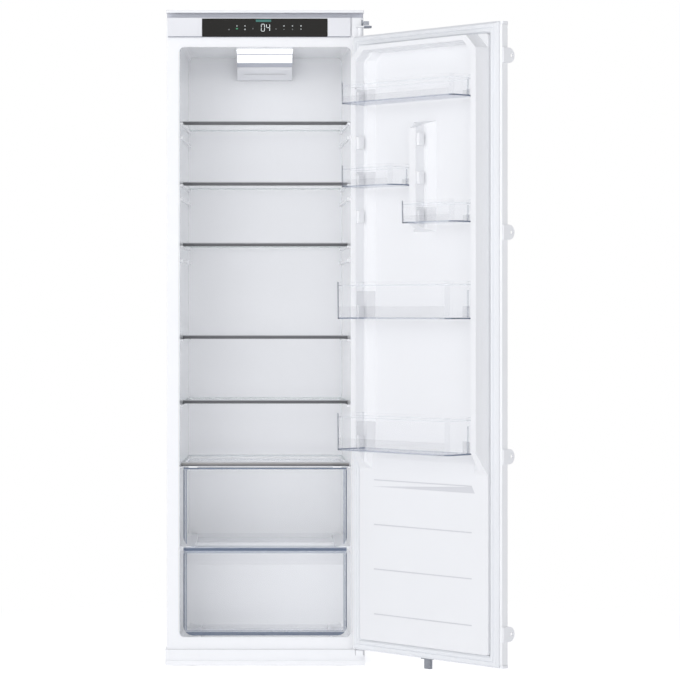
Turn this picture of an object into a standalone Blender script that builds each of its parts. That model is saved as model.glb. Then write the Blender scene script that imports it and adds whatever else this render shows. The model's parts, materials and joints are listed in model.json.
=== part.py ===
"""Column refrigerator with its door open, in metres, Z up, the base's flat underside at height zero."""

import math

import bmesh
import bpy
from mathutils import Vector

# Fits
GAP = 0.0003
OVERLAP = 0.001
REACH = 0.05
PIN_PLAY = 0.0003

# Cabinet body
BODY_HALF = 0.266
BODY_BACK = 0.4867
BODY_BOTTOM = 0.043
BODY_TOP = 1.7647
SHELL_SHEET = 0.001
RECESS_TALL = 0.0136
RECESS_DEPTH = 0.020
HEADER_TOP = BODY_TOP - RECESS_TALL
BACK_PANEL_SHEET = 0.0008
BACK_PANEL_HALF = BODY_HALF - GAP
BACK_FACE = BODY_BACK + GAP + BACK_PANEL_SHEET

# Machine compartment
COMPARTMENT_DEEP = 0.1867
COMPARTMENT_TALL = 0.229
COMPARTMENT_FRONT = BODY_BACK - COMPARTMENT_DEEP
COMPARTMENT_TOP = BODY_BOTTOM + COMPARTMENT_TALL

# Top plate
TOP_PLATE_PROUD = 0.0016
TOP_PLATE_FRONT = -0.006
TOP_PLATE_THICK = 0.007
TOP_PLATE_CORNER = 0.003
TOP_PLATE_HALF = BODY_HALF + TOP_PLATE_PROUD
TOP_PLATE_TOP = BODY_TOP + GAP + TOP_PLATE_THICK

# Food compartment
FRAME_SIDE = 0.034
FRAME_LOW = 0.0325
FRAME_HIGH = 0.092
OPENING_HALF = BODY_HALF - FRAME_SIDE
OPENING_BOTTOM = BODY_BOTTOM + FRAME_LOW
OPENING_TOP = BODY_TOP - FRAME_HIGH
OPENING_CORNER = 0.013
LINER_WALL = 0.002
LINER_FRONT = 0.0013
ROOM_FRONT = 0.0033
BACK_THICK = 0.0417
FLOOR_DROP = 0.0085
CEILING_RISE = 0.0139
ROOM_BACK = BODY_BACK - BACK_THICK
ROOM_FLOOR = OPENING_BOTTOM - FLOOR_DROP
ROOM_CEILING = OPENING_TOP + CEILING_RISE
ROOM_CORNER = 0.015
ROOM_NARROWS = 0.012
STEP_WALL = 0.032
STEP_LID = 0.035
STEP_FRONT = COMPARTMENT_FRONT - STEP_WALL
STEP_TOP = COMPARTMENT_TOP + STEP_LID

# Cover over the drawers
COVER_RISE = 0.235
COVER_LEVEL = STEP_TOP + COVER_RISE
COVER_FRONT = 0.022
COVER_BACK_GAP = 0.013
COVER_BACK = ROOM_BACK - COVER_BACK_GAP
COVER_SIDE_GAP = 0.0040
COVER_TRIM_HALF = OPENING_HALF - COVER_SIDE_GAP
COVER_TRIM_TALL = 0.011
CLIP_INSETS = (0.0442, 0.0204)
CLIP_FRONT = 0.012
CLIP_BACK = 0.0225
CLIP_DROP = 0.009

# Glass shelves, as shares of the height from the cover to the ceiling
SHELF_SHARES = (0.81688, 0.67045, 0.52376, 0.30072, 0.14459)
SHELF_LEVELS = [COVER_LEVEL + share * (ROOM_CEILING - COVER_LEVEL) for share in SHELF_SHARES]
SHELF_FRONT = 0.138
SHELF_BACK_GAP = 0.005
SHELF_BACK = ROOM_BACK - SHELF_BACK_GAP
SHELF_THICK = 0.004
SHELF_SIDE_GAP = 0.0008
TRIM_SIDE_GAP = 0.0046
TRIM_HALF = OPENING_HALF - TRIM_SIDE_GAP
TRIM_DEPTH = 0.012
TRIM_TALL = 0.010
TRIM_WALL = 0.002

# Ledges on the side walls
LEDGE_FRONT = 0.050
LEDGE_END = 0.015
LEDGE_BACK = ROOM_BACK - LEDGE_END
LEDGE_REACH = 0.0065
LEDGE_DEPTH = 0.0080
COVER_LEDGE_FRONT = 0.010
COVER_LEDGE_DEPTH = 0.0064
LEDGE_STEP = 0.0004
SPARE_LEDGE_DROP = 0.042
SPARE_LEDGES = 3
DRAWER_LEDGE_REACH = 0.040
DRAWER_LEDGE_INNER = OPENING_HALF - DRAWER_LEDGE_REACH
DRAWER_LEDGE_FRONT = 0.042

# Drawers
DRAWER_FRONT = 0.030
DRAWER_SIDE_GAP = 0.0099
DRAWER_HALF = OPENING_HALF - DRAWER_SIDE_GAP
DRAWER_NARROWS = 0.005
DRAWER_WALL = 0.0025
DRAWER_FACE = 0.004
DRAWER_CORNER = 0.025
UPPER_DRAWER_RISE = 0.0108
UPPER_DRAWER_TOP_GAP = 0.0096
UPPER_DRAWER = (STEP_TOP + UPPER_DRAWER_RISE, COVER_LEVEL - UPPER_DRAWER_TOP_GAP, COVER_BACK)
LOWER_DRAWER_RISE = 0.0088
LOWER_DRAWER_TOP_GAP = 0.0023
LOWER_DRAWER_BACK_GAP = 0.006
LOWER_DRAWER = (
    ROOM_FLOOR + LOWER_DRAWER_RISE,
    STEP_TOP - LOWER_DRAWER_TOP_GAP,
    STEP_FRONT - LOWER_DRAWER_BACK_GAP,
)
RUNNER_INSET = 0.0436
RUNNER_HALF = 0.004
RUNNER_FRONT = 0.012

# Lamp, in distances from the room's back and down from its ceiling
LAMP_CENTRE = -0.0012
LAMP_HALF = 0.0783
DIFFUSER_LINE = (
    (0.2450, 0.0003),
    (0.2420, 0.0036),
    (0.1435, 0.0036),
    (0.0750, 0.0216),
    (0.0742, 0.0187),
    (0.1430, 0.0003),
)
HOUSING_LINE = (
    (0.1418, 0.0003),
    (0.0737, 0.0182),
    (0.0745, 0.0218),
    (0.0600, 0.0406),
    (0.0350, 0.0666),
    (0.0003, 0.0666),
    (0.0003, 0.0003),
)
LED_POCKET = ((-0.066, 0.2330, 0.0021), (0.066, 0.1550, -0.0034))
LED_BOARD = ((-0.065, 0.2320, 0.0018), (0.065, 0.1560, 0.0006))
SENSOR_POCKET = ((-0.060, 0.0500, 0.0516), (0.060, -0.0150, 0.0116))
SENSOR = ((-0.020, 0.0270, 0.0513), (0.020, 0.0003, 0.0266))

# Door pivot, swing and edges
PIVOT_INSET = 0.0097
PIVOT_X = BODY_HALF - PIVOT_INSET
PIVOT_Y = -0.026
OPEN_ANGLE = math.radians(133)
DOOR_PROUD = 0.004
DOOR_EDGE_X = BODY_HALF + DOOR_PROUD
DOOR_WIDE = 2 * DOOR_EDGE_X
RIM_Y = -0.010
DOOR_LIFT = 0.0049
FASCIA_RISE = 0.0264
FASCIA_BOTTOM = OPENING_TOP + FASCIA_RISE
FASCIA_GAP = 0.0027
DOOR_BOTTOM = BODY_BOTTOM + DOOR_LIFT
DOOR_TOP = FASCIA_BOTTOM - FASCIA_GAP
DOOR_TALL = DOOR_TOP - DOOR_BOTTOM

# Control fascia
FASCIA_LEFT_INSET = 0.003
FASCIA_RIGHT_INSET = 0.0355
FASCIA_LEFT = FASCIA_LEFT_INSET - BODY_HALF
FASCIA_RIGHT = BODY_HALF - FASCIA_RIGHT_INSET
FASCIA_FRONT = -0.0083
FASCIA_SIDE_WALL = 0.002
FASCIA_FACE = 0.0027
DISPLAY_INSETS = (0.0926, 0.0617)
DISPLAY_LEFT = FASCIA_LEFT + DISPLAY_INSETS[0]
DISPLAY_RIGHT = FASCIA_RIGHT - DISPLAY_INSETS[1]
DISPLAY_TOP_GAP = 0.0024
DISPLAY_TOP = HEADER_TOP - DISPLAY_TOP_GAP
DISPLAY_THICK = 0.0012
DISPLAY_CORNER = 0.002
BOARD_HALF = 0.150
BOARD_THICK = 0.0016
BOARD_MARGIN = 0.0014
END_COVER_INSETS = (0.0309, 0.0060)
END_COVER_LEFT = BODY_HALF - END_COVER_INSETS[0]
END_COVER_RIGHT = BODY_HALF - END_COVER_INSETS[1]
END_COVER_WALL = 0.001

# Door skin, caps and foam, in distances from the hinge edge and from the rim
CAP_TALL = 0.0077
CAP_OUTER = -0.023
CAP_CORNER = 0.003
SKIN_INSET = 0.0015
SKIN_OUTER = -0.0215
SKIN_SHEET = 0.0008
SKIN_RETURN = 0.009
DOOR_FOAM_FACE = -0.0025
DOOR_FOAM_LOW = 0.0085
DOOR_FOAM_HIGH = 0.0015

# Door racks, their levels as shares of the door's height
RACK_SHARES = (0.88444, 0.75056, 0.68960, 0.53958, 0.32933)
RACK_DEPTHS = (0.118, 0.118, 0.118, 0.134, 0.134)
RACK_HEIGHTS = (0.0561, 0.0571, 0.0582, 0.0973, 0.0970)
RACK_LEVELS = [DOOR_BOTTOM + share * DOOR_TALL for share in RACK_SHARES]
LOW_RACK = RACK_LEVELS[-1]
RAIL_FOOT = RACK_LEVELS[2]
RAIL_HEAD_SHARE = 0.81171
RAIL_HEAD = DOOR_BOTTOM + RAIL_HEAD_SHARE * DOOR_TALL
LAST_LUG_RISE = 0.0043
SPARE_LUGS = (RAIL_HEAD, RACK_LEVELS[1], RAIL_FOOT + LAST_LUG_RISE)
RACK_SIDE = 0.0660
RAIL_OFFSET = 0.0023
RAIL_CENTRE = DOOR_WIDE / 2 + RAIL_OFFSET
HALF_RACK_GAP = 0.0145
RACK_BACK = 0.0243
RACK_WALL = 0.002
RACK_CORNER = 0.020
RACK_HEEL = 0.003
RACK_DRAFT = 0.001
RACK_BLOCK_WIDE = 0.0105
RACK_BLOCK_FACE = 0.0520
RACK_BLOCK_DROP = 0.001
SLOT_WIDE = 0.0060
SLOT_FACES = (0.0270, 0.0480)
SLOT_TALL = 0.0363

# Door liner: outlines in from the sides, up from the door's foot and down from its top
BORDER = (-0.0022, -0.0002)
BORDER_END = 0.0174
PLATEAU = 0.011
PLATEAU_CORNER = 0.008
PLATEAU_FOOT = (0.0385, 0.0294, 0.0284)
PLATEAU_FACE = (0.0397, 0.0306, 0.0292)
LINER_UNDER = (0.0419, 0.0328, 0.0321)
UNDER_LOW = 0.0088
UNDER_HIGH = 0.0018
LOW_PLATEAU_DROP = 0.0358
LOW_PLATEAU_TOP = LOW_RACK - LOW_PLATEAU_DROP

# Liner ridge and bays: depth, inset, start from the lowest rack, drop from the top, cut corner
RIDGE = 0.051
RIDGE_FOOT = (PLATEAU, 0.0397, -0.0538, 0.0292, 0.036)
RIDGE_CREST = (RIDGE, 0.0453, 0.0062, 0.0334, 0.034)
BAY_LEVELS = (
    (0.0040, 0.0928, 0.0092, 0.0514, 0.020),
    (0.0110, 0.0852, -0.0258, 0.0500, 0.020),
)
BAY_OPEN_LEVELS = (
    (0.0108, 0.0854, -0.1008, 0.0500, 0.020),
    (0.0200, 0.0755, -0.1008, 0.0484, 0.022),
    (0.0220, 0.0655, -0.1008, 0.0464, 0.026),
    (0.0510, 0.0630, -0.1008, 0.0454, 0.028),
    (0.0610, 0.0621, -0.1008, 0.0450, 0.028),
)
RAIL_LEVELS = (
    (0.0030, 0.0423, -0.0201, 0.0684),
    (0.0200, 0.0240, -0.0129, 0.0617),
    (0.0220, 0.0140, -0.0120, 0.0609),
    (0.0510, 0.0115, 0.0003, 0.0495),
)
GROOVE_SHARES = (0.84749, 0.62829, 0.40965, 0.18898)
GROOVE_LEVELS = [DOOR_BOTTOM + share * (LOW_RACK - DOOR_BOTTOM) for share in GROOVE_SHARES]
GROOVE_INSETS = (0.0926, 0.0957)
GROOVE_TALL = 0.003
GROOVE_DEPTH = 0.001
CORE_SPAN = (0.0500, 0.0590)
CORE_FACE = 0.046
CORE_RISE = 0.0292
CORE_DROP = 0.0714
CORE_ENDS = (LOW_RACK + CORE_RISE, DOOR_TOP - CORE_DROP)
LUG_IN = 0.0057
LUG_ROOT = 0.0045
LUG_FACES = (0.0285, 0.0465)
LUG_LIFT = 0.004
LUG_TALL = 0.032

# Door gasket, its section in distances from its outer edge and from the rim
GASKET_SIDE = 0.009
GASKET_LIFT = 0.0011
GASKET_SECTION = (
    (0.0000, 0.0003),
    (0.0280, 0.0003),
    (0.0280, 0.0040),
    (0.0235, 0.0095),
    (0.0165, 0.0095),
    (0.0150, 0.0070),
    (0.0135, 0.0095),
    (0.0055, 0.0095),
    (0.0000, 0.0040),
)
GASKET_CORNER = 0.004
GASKET_INNER_CORNER = 0.002

# Furniture door sliders, their levels as shares of the door's height
SLIDER_SHARES = (0.94759, 0.67401, 0.32702, 0.05223)
SLIDER_LEVELS = [DOOR_BOTTOM + share * DOOR_TALL for share in SLIDER_SHARES]
SLIDER_IN = DOOR_WIDE - SKIN_INSET + GAP
SLIDER_THICK = 0.004
SLIDER_RADIUS = 0.0195
SLIDER_ROOT = -0.001
SLIDER_NOSE = -0.024
SLIDER_HOLE = 0.0048
SLIDER_HOLE_AT = -0.033

# Tab under the door
TAB_OFFSET = 0.002
TAB_CENTRE = DOOR_WIDE / 2 + TAB_OFFSET
TAB_PLATE_HALF = 0.020
TAB_PLATE_FACES = (-0.018, -0.001)
TAB_PLATE_THICK = 0.002
TAB_PLATE_TOP = DOOR_BOTTOM - GAP
TAB_HALF = 0.010
TAB_FACES = (-0.015, -0.004)
TAB_DROP = 0.0274

# Hinges
PIN_RADIUS = 0.004
COLLAR_RADIUS = 0.0068
PIN_LAP = 0.0071
LOWER_BRACKET_INSETS = (0.0213, 0.0016)
LOWER_BRACKET_FACES = (-0.036, 0.012)
LOWER_BRACKET_DROP = 0.0155
LOWER_BRACKET_BOTTOM = BODY_BOTTOM - LOWER_BRACKET_DROP
LOWER_BRACKET_BACK_GAP = 0.0005
LOWER_BRACKET_BACK_TOP = BODY_BOTTOM - LOWER_BRACKET_BACK_GAP
LOWER_BRACKET_STEP = -0.012
LOWER_BRACKET_RISE = 0.001
LOWER_BRACKET_TOP = BODY_BOTTOM + LOWER_BRACKET_RISE
LOWER_PIN_FOOT = LOWER_BRACKET_BOTTOM + OVERLAP
UPPER_PLATE_LIFT = 0.0260
UPPER_PLATE_THICK = 0.0036
UPPER_PLATE = (DOOR_TOP + UPPER_PLATE_LIFT, DOOR_TOP + UPPER_PLATE_LIFT + UPPER_PLATE_THICK)
UPPER_PLATE_LINE = (
    (0.0040, -0.0033),
    (0.0040, -0.0125),
    (-0.0100, -0.0125),
    (-0.0100, -0.0340),
    (-0.0060, -0.0395),
    (0.0269, -0.0395),
    (0.0309, -0.0340),
    (0.0309, -0.0100),
    (0.0237, -0.0033),
)
UPPER_FOOT = ((-0.0178, -0.0036, 0.0086), (0.0094, -0.0003, 0.0486))
UPPER_BOSS = ((0.0091, -0.0360, 0.0286), (0.0237, -0.0200, 0.0422))
FOOT_PASS = ((-0.0013, -0.0042, 0.0082), (0.0087, 0.0100, 0.0490))

# Base
PLINTH_PROUD = 0.0037
PLINTH_HALF = BODY_HALF + PLINTH_PROUD
PLINTH_FRONT = -0.0085
PLINTH_LIP = -0.012
PLINTH_LIP_TALL = 0.0125
PLINTH_TOP = BODY_BOTTOM - GAP
PLINTH_BACK = 0.045
PLINTH_WALL = 0.003
UNDERSIDE_FRONT = 0.003
UNDERSIDE_RISE = 0.003
PLINTH_JOINT_INSETS = (0.0883, 0.0931)
PLINTH_JOINTS = (PLINTH_JOINT_INSETS[0] - BODY_HALF, BODY_HALF - PLINTH_JOINT_INSETS[1])
JOINT_WIDE = 0.0008
NOTCH_INSET = 0.0219
NOTCH_PROUD = 0.010
NOTCH_FRONT = -0.060
FEET_INSETS = (0.0640, 0.0635)
FEET_X = (FEET_INSETS[0] - BODY_HALF, BODY_HALF - FEET_INSETS[1])
FOOT_Y = 0.018
FOOT_BOTTOM = -0.003
FOOT_RADIUS = 0.0145
FOOT_STEM = 0.005
FOOT_STEM_GAP = 0.0087
FOOT_STEM_TOP = PLINTH_TOP - FOOT_STEM_GAP
FOOT_SIDES = 6
TRAY_SIDE_GAP = 0.002
TRAY_HALF = BODY_HALF - TRAY_SIDE_GAP
TRAY_FRONT = PLINTH_BACK + GAP
TRAY_BOTTOM = 0.012
TRAY_SHEET = 0.0015
SKID_PAD_INSETS = (0.041, 0.011)
SKID_PAD_FROM_BACK = (0.0467, 0.0067)

# Compressor, about its upright axis
COMPRESSOR_X = 0.100
COMPRESSOR_FROM_BACK = 0.0917
COMPRESSOR_Y = BODY_BACK - COMPRESSOR_FROM_BACK
COMPRESSOR_LINE = (
    (0.045, 0.0270),
    (0.058, 0.0420),
    (0.062, 0.0600),
    (0.062, 0.1080),
    (0.057, 0.1380),
    (0.040, 0.1640),
    (0.020, 0.1720),
)
COMPRESSOR_PLATE = ((-0.085, -0.058, 0.0258), (0.085, 0.058, 0.0288))
COMPRESSOR_FEET = (0.070, 0.045)
COMPRESSOR_FOOT_RADIUS = 0.010
TERMINAL_BOX = ((-0.096, -0.027, 0.062), (-0.040, 0.027, 0.105))
DRIP_TRAY = ((-0.090, -0.060, 0.1723), (0.090, 0.055, 0.1950))
DRIP_TRAY_WALL = 0.0015

# Cooling circuit
DRYER_SPOT = (-0.160, 0.045)
DRYER_LINE = ((0.004, 0.0600), (0.009, 0.0700), (0.009, 0.1500), (0.004, 0.1600))
PIPE_RADIUS = 0.004
THIN_PIPE_RADIUS = 0.0025
PIPE_END = COMPARTMENT_TOP - GAP
SUCTION_BEND = ((0.0623, 0.0900), (0.0690, 0.0900), (0.0719, 0.0912), (0.0730, 0.0940))
EVAPORATOR_HALF = 0.160
EVAPORATOR_START = 0.238
EVAPORATOR_DROP = 0.1366
EVAPORATOR_ENDS = (COVER_LEVEL + EVAPORATOR_START, ROOM_CEILING - EVAPORATOR_DROP)
EVAPORATOR_FACES = (0.0023, 0.0035)
EVAPORATOR_TUBE_HALF = 0.145
EVAPORATOR_TUBE_AT = 0.0053
EVAPORATOR_TUBE_INSET = 0.020
EVAPORATOR_TUBE_RADIUS = 0.0030
EVAPORATOR_PASSES = 8
EVAPORATOR_MARGIN = 0.005
EVAPORATOR_POCKET_DEPTH = 0.0095
CONDENSER_INSET = 0.061
CONDENSER_HALF = BODY_HALF - CONDENSER_INSET
CONDENSER_AT = 0.0178
CONDENSER_START = 0.068
CONDENSER_DROP = 0.2847
CONDENSER_ENDS = (COMPARTMENT_TOP + CONDENSER_START, BODY_TOP - CONDENSER_DROP)
CONDENSER_PASSES = 10
WIRE_COUNT = 7
WIRE_INSET = 0.025
WIRE_SPAN = CONDENSER_HALF - WIRE_INSET
WIRE_WIDE = 0.002
WIRE_FACES = (0.0193, 0.0213)
WIRE_OVERRUN = 0.010
SPACER_X = (0.080, 0.095)
SPACER_FACE = 0.0253
SPACER_DROP = 0.011
SPACER_TALL = 0.022
INLET_INSETS = (0.056, 0.096)
INLET_X = [inset - BODY_HALF for inset in INLET_INSETS]
INLET_THICK = 0.012
INLET_LEVELS = (0.018, 0.040)

# Roundness
ARC_STEPS = 4
ROUND_SIDES = 16
TUBE_SIDES = 6


def finish(name, colour, roughness, metallic=0):
    """A plain material from a screen colour of red, green and blue parts of 255."""
    material = bpy.data.materials.new(name)
    material.use_nodes = True
    shader = material.node_tree.nodes["Principled BSDF"]
    linear = [(part / 255) ** 2.2 for part in colour]
    shader.inputs["Base Color"].default_value = (*linear, 1)
    shader.inputs["Roughness"].default_value = roughness
    shader.inputs["Metallic"].default_value = metallic
    return material


def solids(name, bodies, material=None, parent=None, smooth=False):
    """One object from closed bodies, each a row of corner rings with flat ends."""
    shape = bmesh.new()
    for rings in bodies:
        loops = [[shape.verts.new(corner) for corner in ring] for ring in rings]
        for low, high in zip(loops, loops[1:]):
            for i, corner in enumerate(low):
                j = (i + 1) % len(low)
                shape.faces.new((corner, low[j], high[j], high[i]))
        shape.faces.new(loops[0])
        shape.faces.new(loops[-1])
    bmesh.ops.recalc_face_normals(shape, faces=shape.faces)
    mesh = bpy.data.meshes.new(name)
    shape.to_mesh(mesh)
    shape.free()
    if smooth:
        mesh.shade_smooth()
    if material:
        mesh.materials.append(material)
    made = bpy.data.objects.new(name, mesh)
    bpy.context.scene.collection.objects.link(made)
    made.parent = parent
    return made


def tool(name, bodies, parent=None):
    """A hidden shape that only cuts or joins."""
    made = solids(name, bodies, parent=parent)
    made.hide_render = True
    made.display_type = "WIRE"
    return made


def combine(target, other, operation):
    step = target.modifiers.new(other.name, "BOOLEAN")
    step.operation = operation
    step.solver = "EXACT"
    step.object = other


def cut(target, bodies, parent=None):
    combine(target, tool(f"{target.name}_cut", bodies, parent), "DIFFERENCE")


def join(target, bodies, parent=None):
    combine(target, tool(f"{target.name}_join", bodies, parent), "UNION")


def block(low, high):
    """The two end rings of a box between opposite corners."""
    (x0, y0, z0), (x1, y1, z1) = low, high
    return [[(x0, y0, z), (x1, y0, z), (x1, y1, z), (x0, y1, z)] for z in (z0, z1)]


def along(axis, line, start, end):
    """The two end rings of an outline drawn out along an axis."""
    spots = {
        "X": lambda a, b, level: (level, a, b),
        "Y": lambda a, b, level: (a, level, b),
        "Z": lambda a, b, level: (a, b, level),
    }
    return [[spots[axis](a, b, level) for a, b in line] for level in (start, end)]


def arc(x, y, radius, start, sweep, steps=ARC_STEPS):
    """Points on part of a circle, in quarter turns from the +X side."""
    turns = [(start + sweep * i / steps) * math.pi / 2 for i in range(steps + 1)]
    return [(x + radius * math.cos(t), y + radius * math.sin(t)) for t in turns]


def rounded(low, high, radius):
    """A rectangle with four round corners, from its lower left."""
    (x0, y0), (x1, y1) = low, high
    return (
        arc(x0 + radius, y0 + radius, radius, 2, 1)
        + arc(x1 - radius, y0 + radius, radius, 3, 1)
        + arc(x1 - radius, y1 - radius, radius, 0, 1)
        + arc(x0 + radius, y1 - radius, radius, 1, 1)
    )


def circle(x, y, radius, sides=ROUND_SIDES):
    turns = [2 * math.pi * i / sides for i in range(sides)]
    return [(x + radius * math.cos(t), y + radius * math.sin(t)) for t in turns]


def turned(x, y, line, sides=ROUND_SIDES):
    """Rings of a body turned about an upright axis from radii and heights."""
    return [[(*spot, z) for spot in circle(x, y, radius, sides)] for radius, z in line]


def swept(path, radius, sides=TUBE_SIDES):
    """Rings of a round tube along a path."""
    points = [Vector(spot) for spot in path]
    side = None
    rings = []
    for i, point in enumerate(points):
        before = points[max(i - 1, 0)]
        after = points[min(i + 1, len(points) - 1)]
        heading = (after - before).normalized()
        side = side or heading.orthogonal()
        side = (side - heading * side.dot(heading)).normalized()
        other = heading.cross(side)
        ring = circle(0, 0, radius, sides)
        rings.append([tuple(point + side * a + other * b) for a, b in ring])
    return rings


def snake(half, y, low, high, passes):
    """The path of a tube that runs side to side in upright bends."""
    pitch = (high - low) / (passes - 1)
    bend = pitch / 2
    path = [(-half + bend, y, low)]
    for i in range(passes - 1):
        facing = 1 if i % 2 == 0 else -1
        middle = low + pitch * (i + 0.5)
        turns = [math.pi * (j / (2 * ARC_STEPS) - 1 / 2) for j in range(2 * ARC_STEPS + 1)]
        for t in turns:
            x = facing * (half - bend + bend * math.cos(t))
            path.append((x, y, middle + bend * math.sin(t)))
    last = -1 if passes % 2 == 0 else 1
    path.append((last * (half - bend), y, high))
    return path


def wall_at(y):
    """Half the room's width at a depth."""
    return OPENING_HALF - ROOM_NARROWS * y / ROOM_BACK


def moved(box, x=0, y=0, z=0):
    """Two opposite corners, carried along."""
    return [(a + x, b + y, c + z) for a, b, c in box]


def from_back(box):
    """A block from corners given by distances from the room's back and down from its ceiling."""
    return block(*[(x, ROOM_BACK - far, ROOM_CEILING - drop) for x, far, drop in box])


for old in list(bpy.data.objects):
    bpy.data.objects.remove(old, do_unlink=True)

WHITE_PAINT = finish("white_paint", (233, 234, 239), 0.35)
WHITE_PLASTIC = finish("white_plastic", (226, 228, 233), 0.4)
DOOR_WHITE = finish("door_white", (240, 241, 244), 0.35)
FOAM = finish("foam", (222, 208, 150), 0.9)
BLACK_GLASS = finish("black_glass", (38, 37, 34), 0.15)
GREY_TRIM = finish("grey_trim", (112, 114, 118), 0.4)
CLEAR_GLASS = finish("clear_glass", (196, 208, 212), 0.05)
CLEAR_PLASTIC = finish("clear_plastic", (168, 178, 194), 0.12)
LIT_PLASTIC = finish("lit_plastic", (250, 250, 252), 0.4)
BARE_STEEL = finish("bare_steel", (160, 162, 165), 0.4, 0.9)
BLACK_PAINT = finish("black_paint", (28, 28, 30), 0.5)
BOARD_GREEN = finish("board_green", (38, 96, 62), 0.5)
COPPER = finish("copper", (184, 115, 71), 0.35, 0.9)
ALUMINIUM = finish("aluminium", (190, 193, 196), 0.35, 0.9)
SOFT_WHITE = finish("soft_white", (236, 237, 240), 0.7)

# Outer shell
shell_inside = (
    (SHELL_SHEET, BODY_BOTTOM + SHELL_SHEET),
    (BODY_BACK + REACH, BODY_BOTTOM + SHELL_SHEET),
    (BODY_BACK + REACH, BODY_TOP + REACH),
    (RECESS_DEPTH + SHELL_SHEET, BODY_TOP + REACH),
    (RECESS_DEPTH + SHELL_SHEET, HEADER_TOP - SHELL_SHEET),
    (SHELL_SHEET, HEADER_TOP - SHELL_SHEET),
)
shell_outside = (
    (0, BODY_BOTTOM),
    (BODY_BACK, BODY_BOTTOM),
    (BODY_BACK, BODY_TOP),
    (RECESS_DEPTH, BODY_TOP),
    (RECESS_DEPTH, HEADER_TOP),
    (0, HEADER_TOP),
)
inside_half = BODY_HALF - SHELL_SHEET
outer_shell = solids(
    "outer_shell", [along("X", shell_outside, -BODY_HALF, BODY_HALF)], WHITE_PAINT
)
cut(outer_shell, [along("X", shell_inside, -inside_half, inside_half)])
frame_margin = LINER_WALL + GAP
cut(
    outer_shell,
    [
        along(
            "Y",
            rounded(
                (-OPENING_HALF - frame_margin, OPENING_BOTTOM - frame_margin),
                (OPENING_HALF + frame_margin, OPENING_TOP + frame_margin),
                OPENING_CORNER + frame_margin,
            ),
            -REACH,
            REACH,
        ),
        block(
            (-inside_half, COMPARTMENT_FRONT, BODY_BOTTOM - REACH),
            (inside_half, BODY_BACK + REACH, BODY_BOTTOM + REACH),
        ),
    ],
)

# Back panel
solids(
    "back_panel",
    [
        block(
            (-BACK_PANEL_HALF, BODY_BACK + GAP, COMPARTMENT_TOP + GAP),
            (BACK_PANEL_HALF, BACK_FACE, BODY_TOP - GAP),
        )
    ],
    WHITE_PAINT,
)

# Top plate
solids(
    "top_plate",
    [
        along(
            "Z",
            rounded(
                (-TOP_PLATE_HALF, TOP_PLATE_FRONT),
                (TOP_PLATE_HALF, BACK_FACE),
                TOP_PLATE_CORNER,
            ),
            BODY_TOP + GAP,
            TOP_PLATE_TOP,
        )
    ],
    WHITE_PLASTIC,
)


def room(front, back, margin):
    """The tapered room, grown outward by a margin, less the step over the compressor."""
    rings = []
    for y in (front, back):
        half = wall_at(y) + margin
        line = rounded(
            (-half, ROOM_FLOOR - margin), (half, ROOM_CEILING + margin), ROOM_CORNER + margin
        )
        rings.append([(x, y, z) for x, z in line])
    return rings


def step(margin):
    """The block that the room steps over."""
    return block(
        (-BODY_HALF, STEP_FRONT + margin, -REACH), (BODY_HALF, BODY_BACK + REACH, STEP_TOP - margin)
    )


def collar(margin, front, back):
    """The straight mouth of the room, grown outward by a margin."""
    line = rounded(
        (-OPENING_HALF - margin, OPENING_BOTTOM - margin),
        (OPENING_HALF + margin, OPENING_TOP + margin),
        OPENING_CORNER + margin,
    )
    return along("Y", line, front, back)


# Insulation
foam_line = (
    (SHELL_SHEET + GAP, BODY_BOTTOM + SHELL_SHEET + GAP),
    (COMPARTMENT_FRONT, BODY_BOTTOM + SHELL_SHEET + GAP),
    (COMPARTMENT_FRONT, COMPARTMENT_TOP),
    (BODY_BACK, COMPARTMENT_TOP),
    (BODY_BACK, BODY_TOP - GAP),
    (RECESS_DEPTH + SHELL_SHEET + GAP, BODY_TOP - GAP),
    (RECESS_DEPTH + SHELL_SHEET + GAP, HEADER_TOP - SHELL_SHEET - GAP),
    (SHELL_SHEET + GAP, HEADER_TOP - SHELL_SHEET - GAP),
)
foam_half = inside_half - GAP
foam_room = tool("foam_room", [room(0, ROOM_BACK + LINER_WALL + GAP, LINER_WALL + GAP)])
cut(foam_room, [step(LINER_WALL + GAP)])
insulation = solids("insulation_foam", [along("X", foam_line, -foam_half, foam_half)], FOAM)
combine(insulation, foam_room, "DIFFERENCE")
cut(
    insulation,
    [
        block(
            (
                -EVAPORATOR_HALF - EVAPORATOR_MARGIN,
                ROOM_BACK - EVAPORATOR_MARGIN,
                EVAPORATOR_ENDS[0] - EVAPORATOR_MARGIN,
            ),
            (
                EVAPORATOR_HALF + EVAPORATOR_MARGIN,
                ROOM_BACK + EVAPORATOR_POCKET_DEPTH,
                EVAPORATOR_ENDS[1] + EVAPORATOR_MARGIN,
            ),
        )
    ],
)

# Inner liner
liner_room = tool("liner_room", [room(ROOM_FRONT, ROOM_BACK, 0)])
cut(liner_room, [step(0)])
liner_outside = room(LINER_FRONT, ROOM_BACK + LINER_WALL, LINER_WALL)
inner_liner = solids("inner_liner", [liner_outside], WHITE_PLASTIC)
cut(inner_liner, [step(LINER_WALL)])
join(inner_liner, [collar(LINER_WALL, 0, ROOM_FRONT)])
combine(inner_liner, liner_room, "DIFFERENCE")
cut(inner_liner, [collar(0, -REACH, ROOM_FRONT + OVERLAP)])


def ledge(side, top, depth, low_until=None, low_by=0, front=LEDGE_FRONT):
    """One ledge on a side wall, lower in front where a shelf's trim passes over it."""
    stops = [(front, top - low_by)]
    if low_until:
        stops += [(low_until, top - low_by), (low_until + LEDGE_STEP, top)]
    stops.append((LEDGE_BACK, top))
    rings = []
    for y, crest in stops:
        outer = side * (wall_at(y) + OVERLAP)
        inner = side * (wall_at(y) - LEDGE_REACH)
        base = top - depth
        rings.append([(outer, y, base), (inner, y, base), (inner, y, crest), (outer, y, crest)])
    return rings


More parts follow.
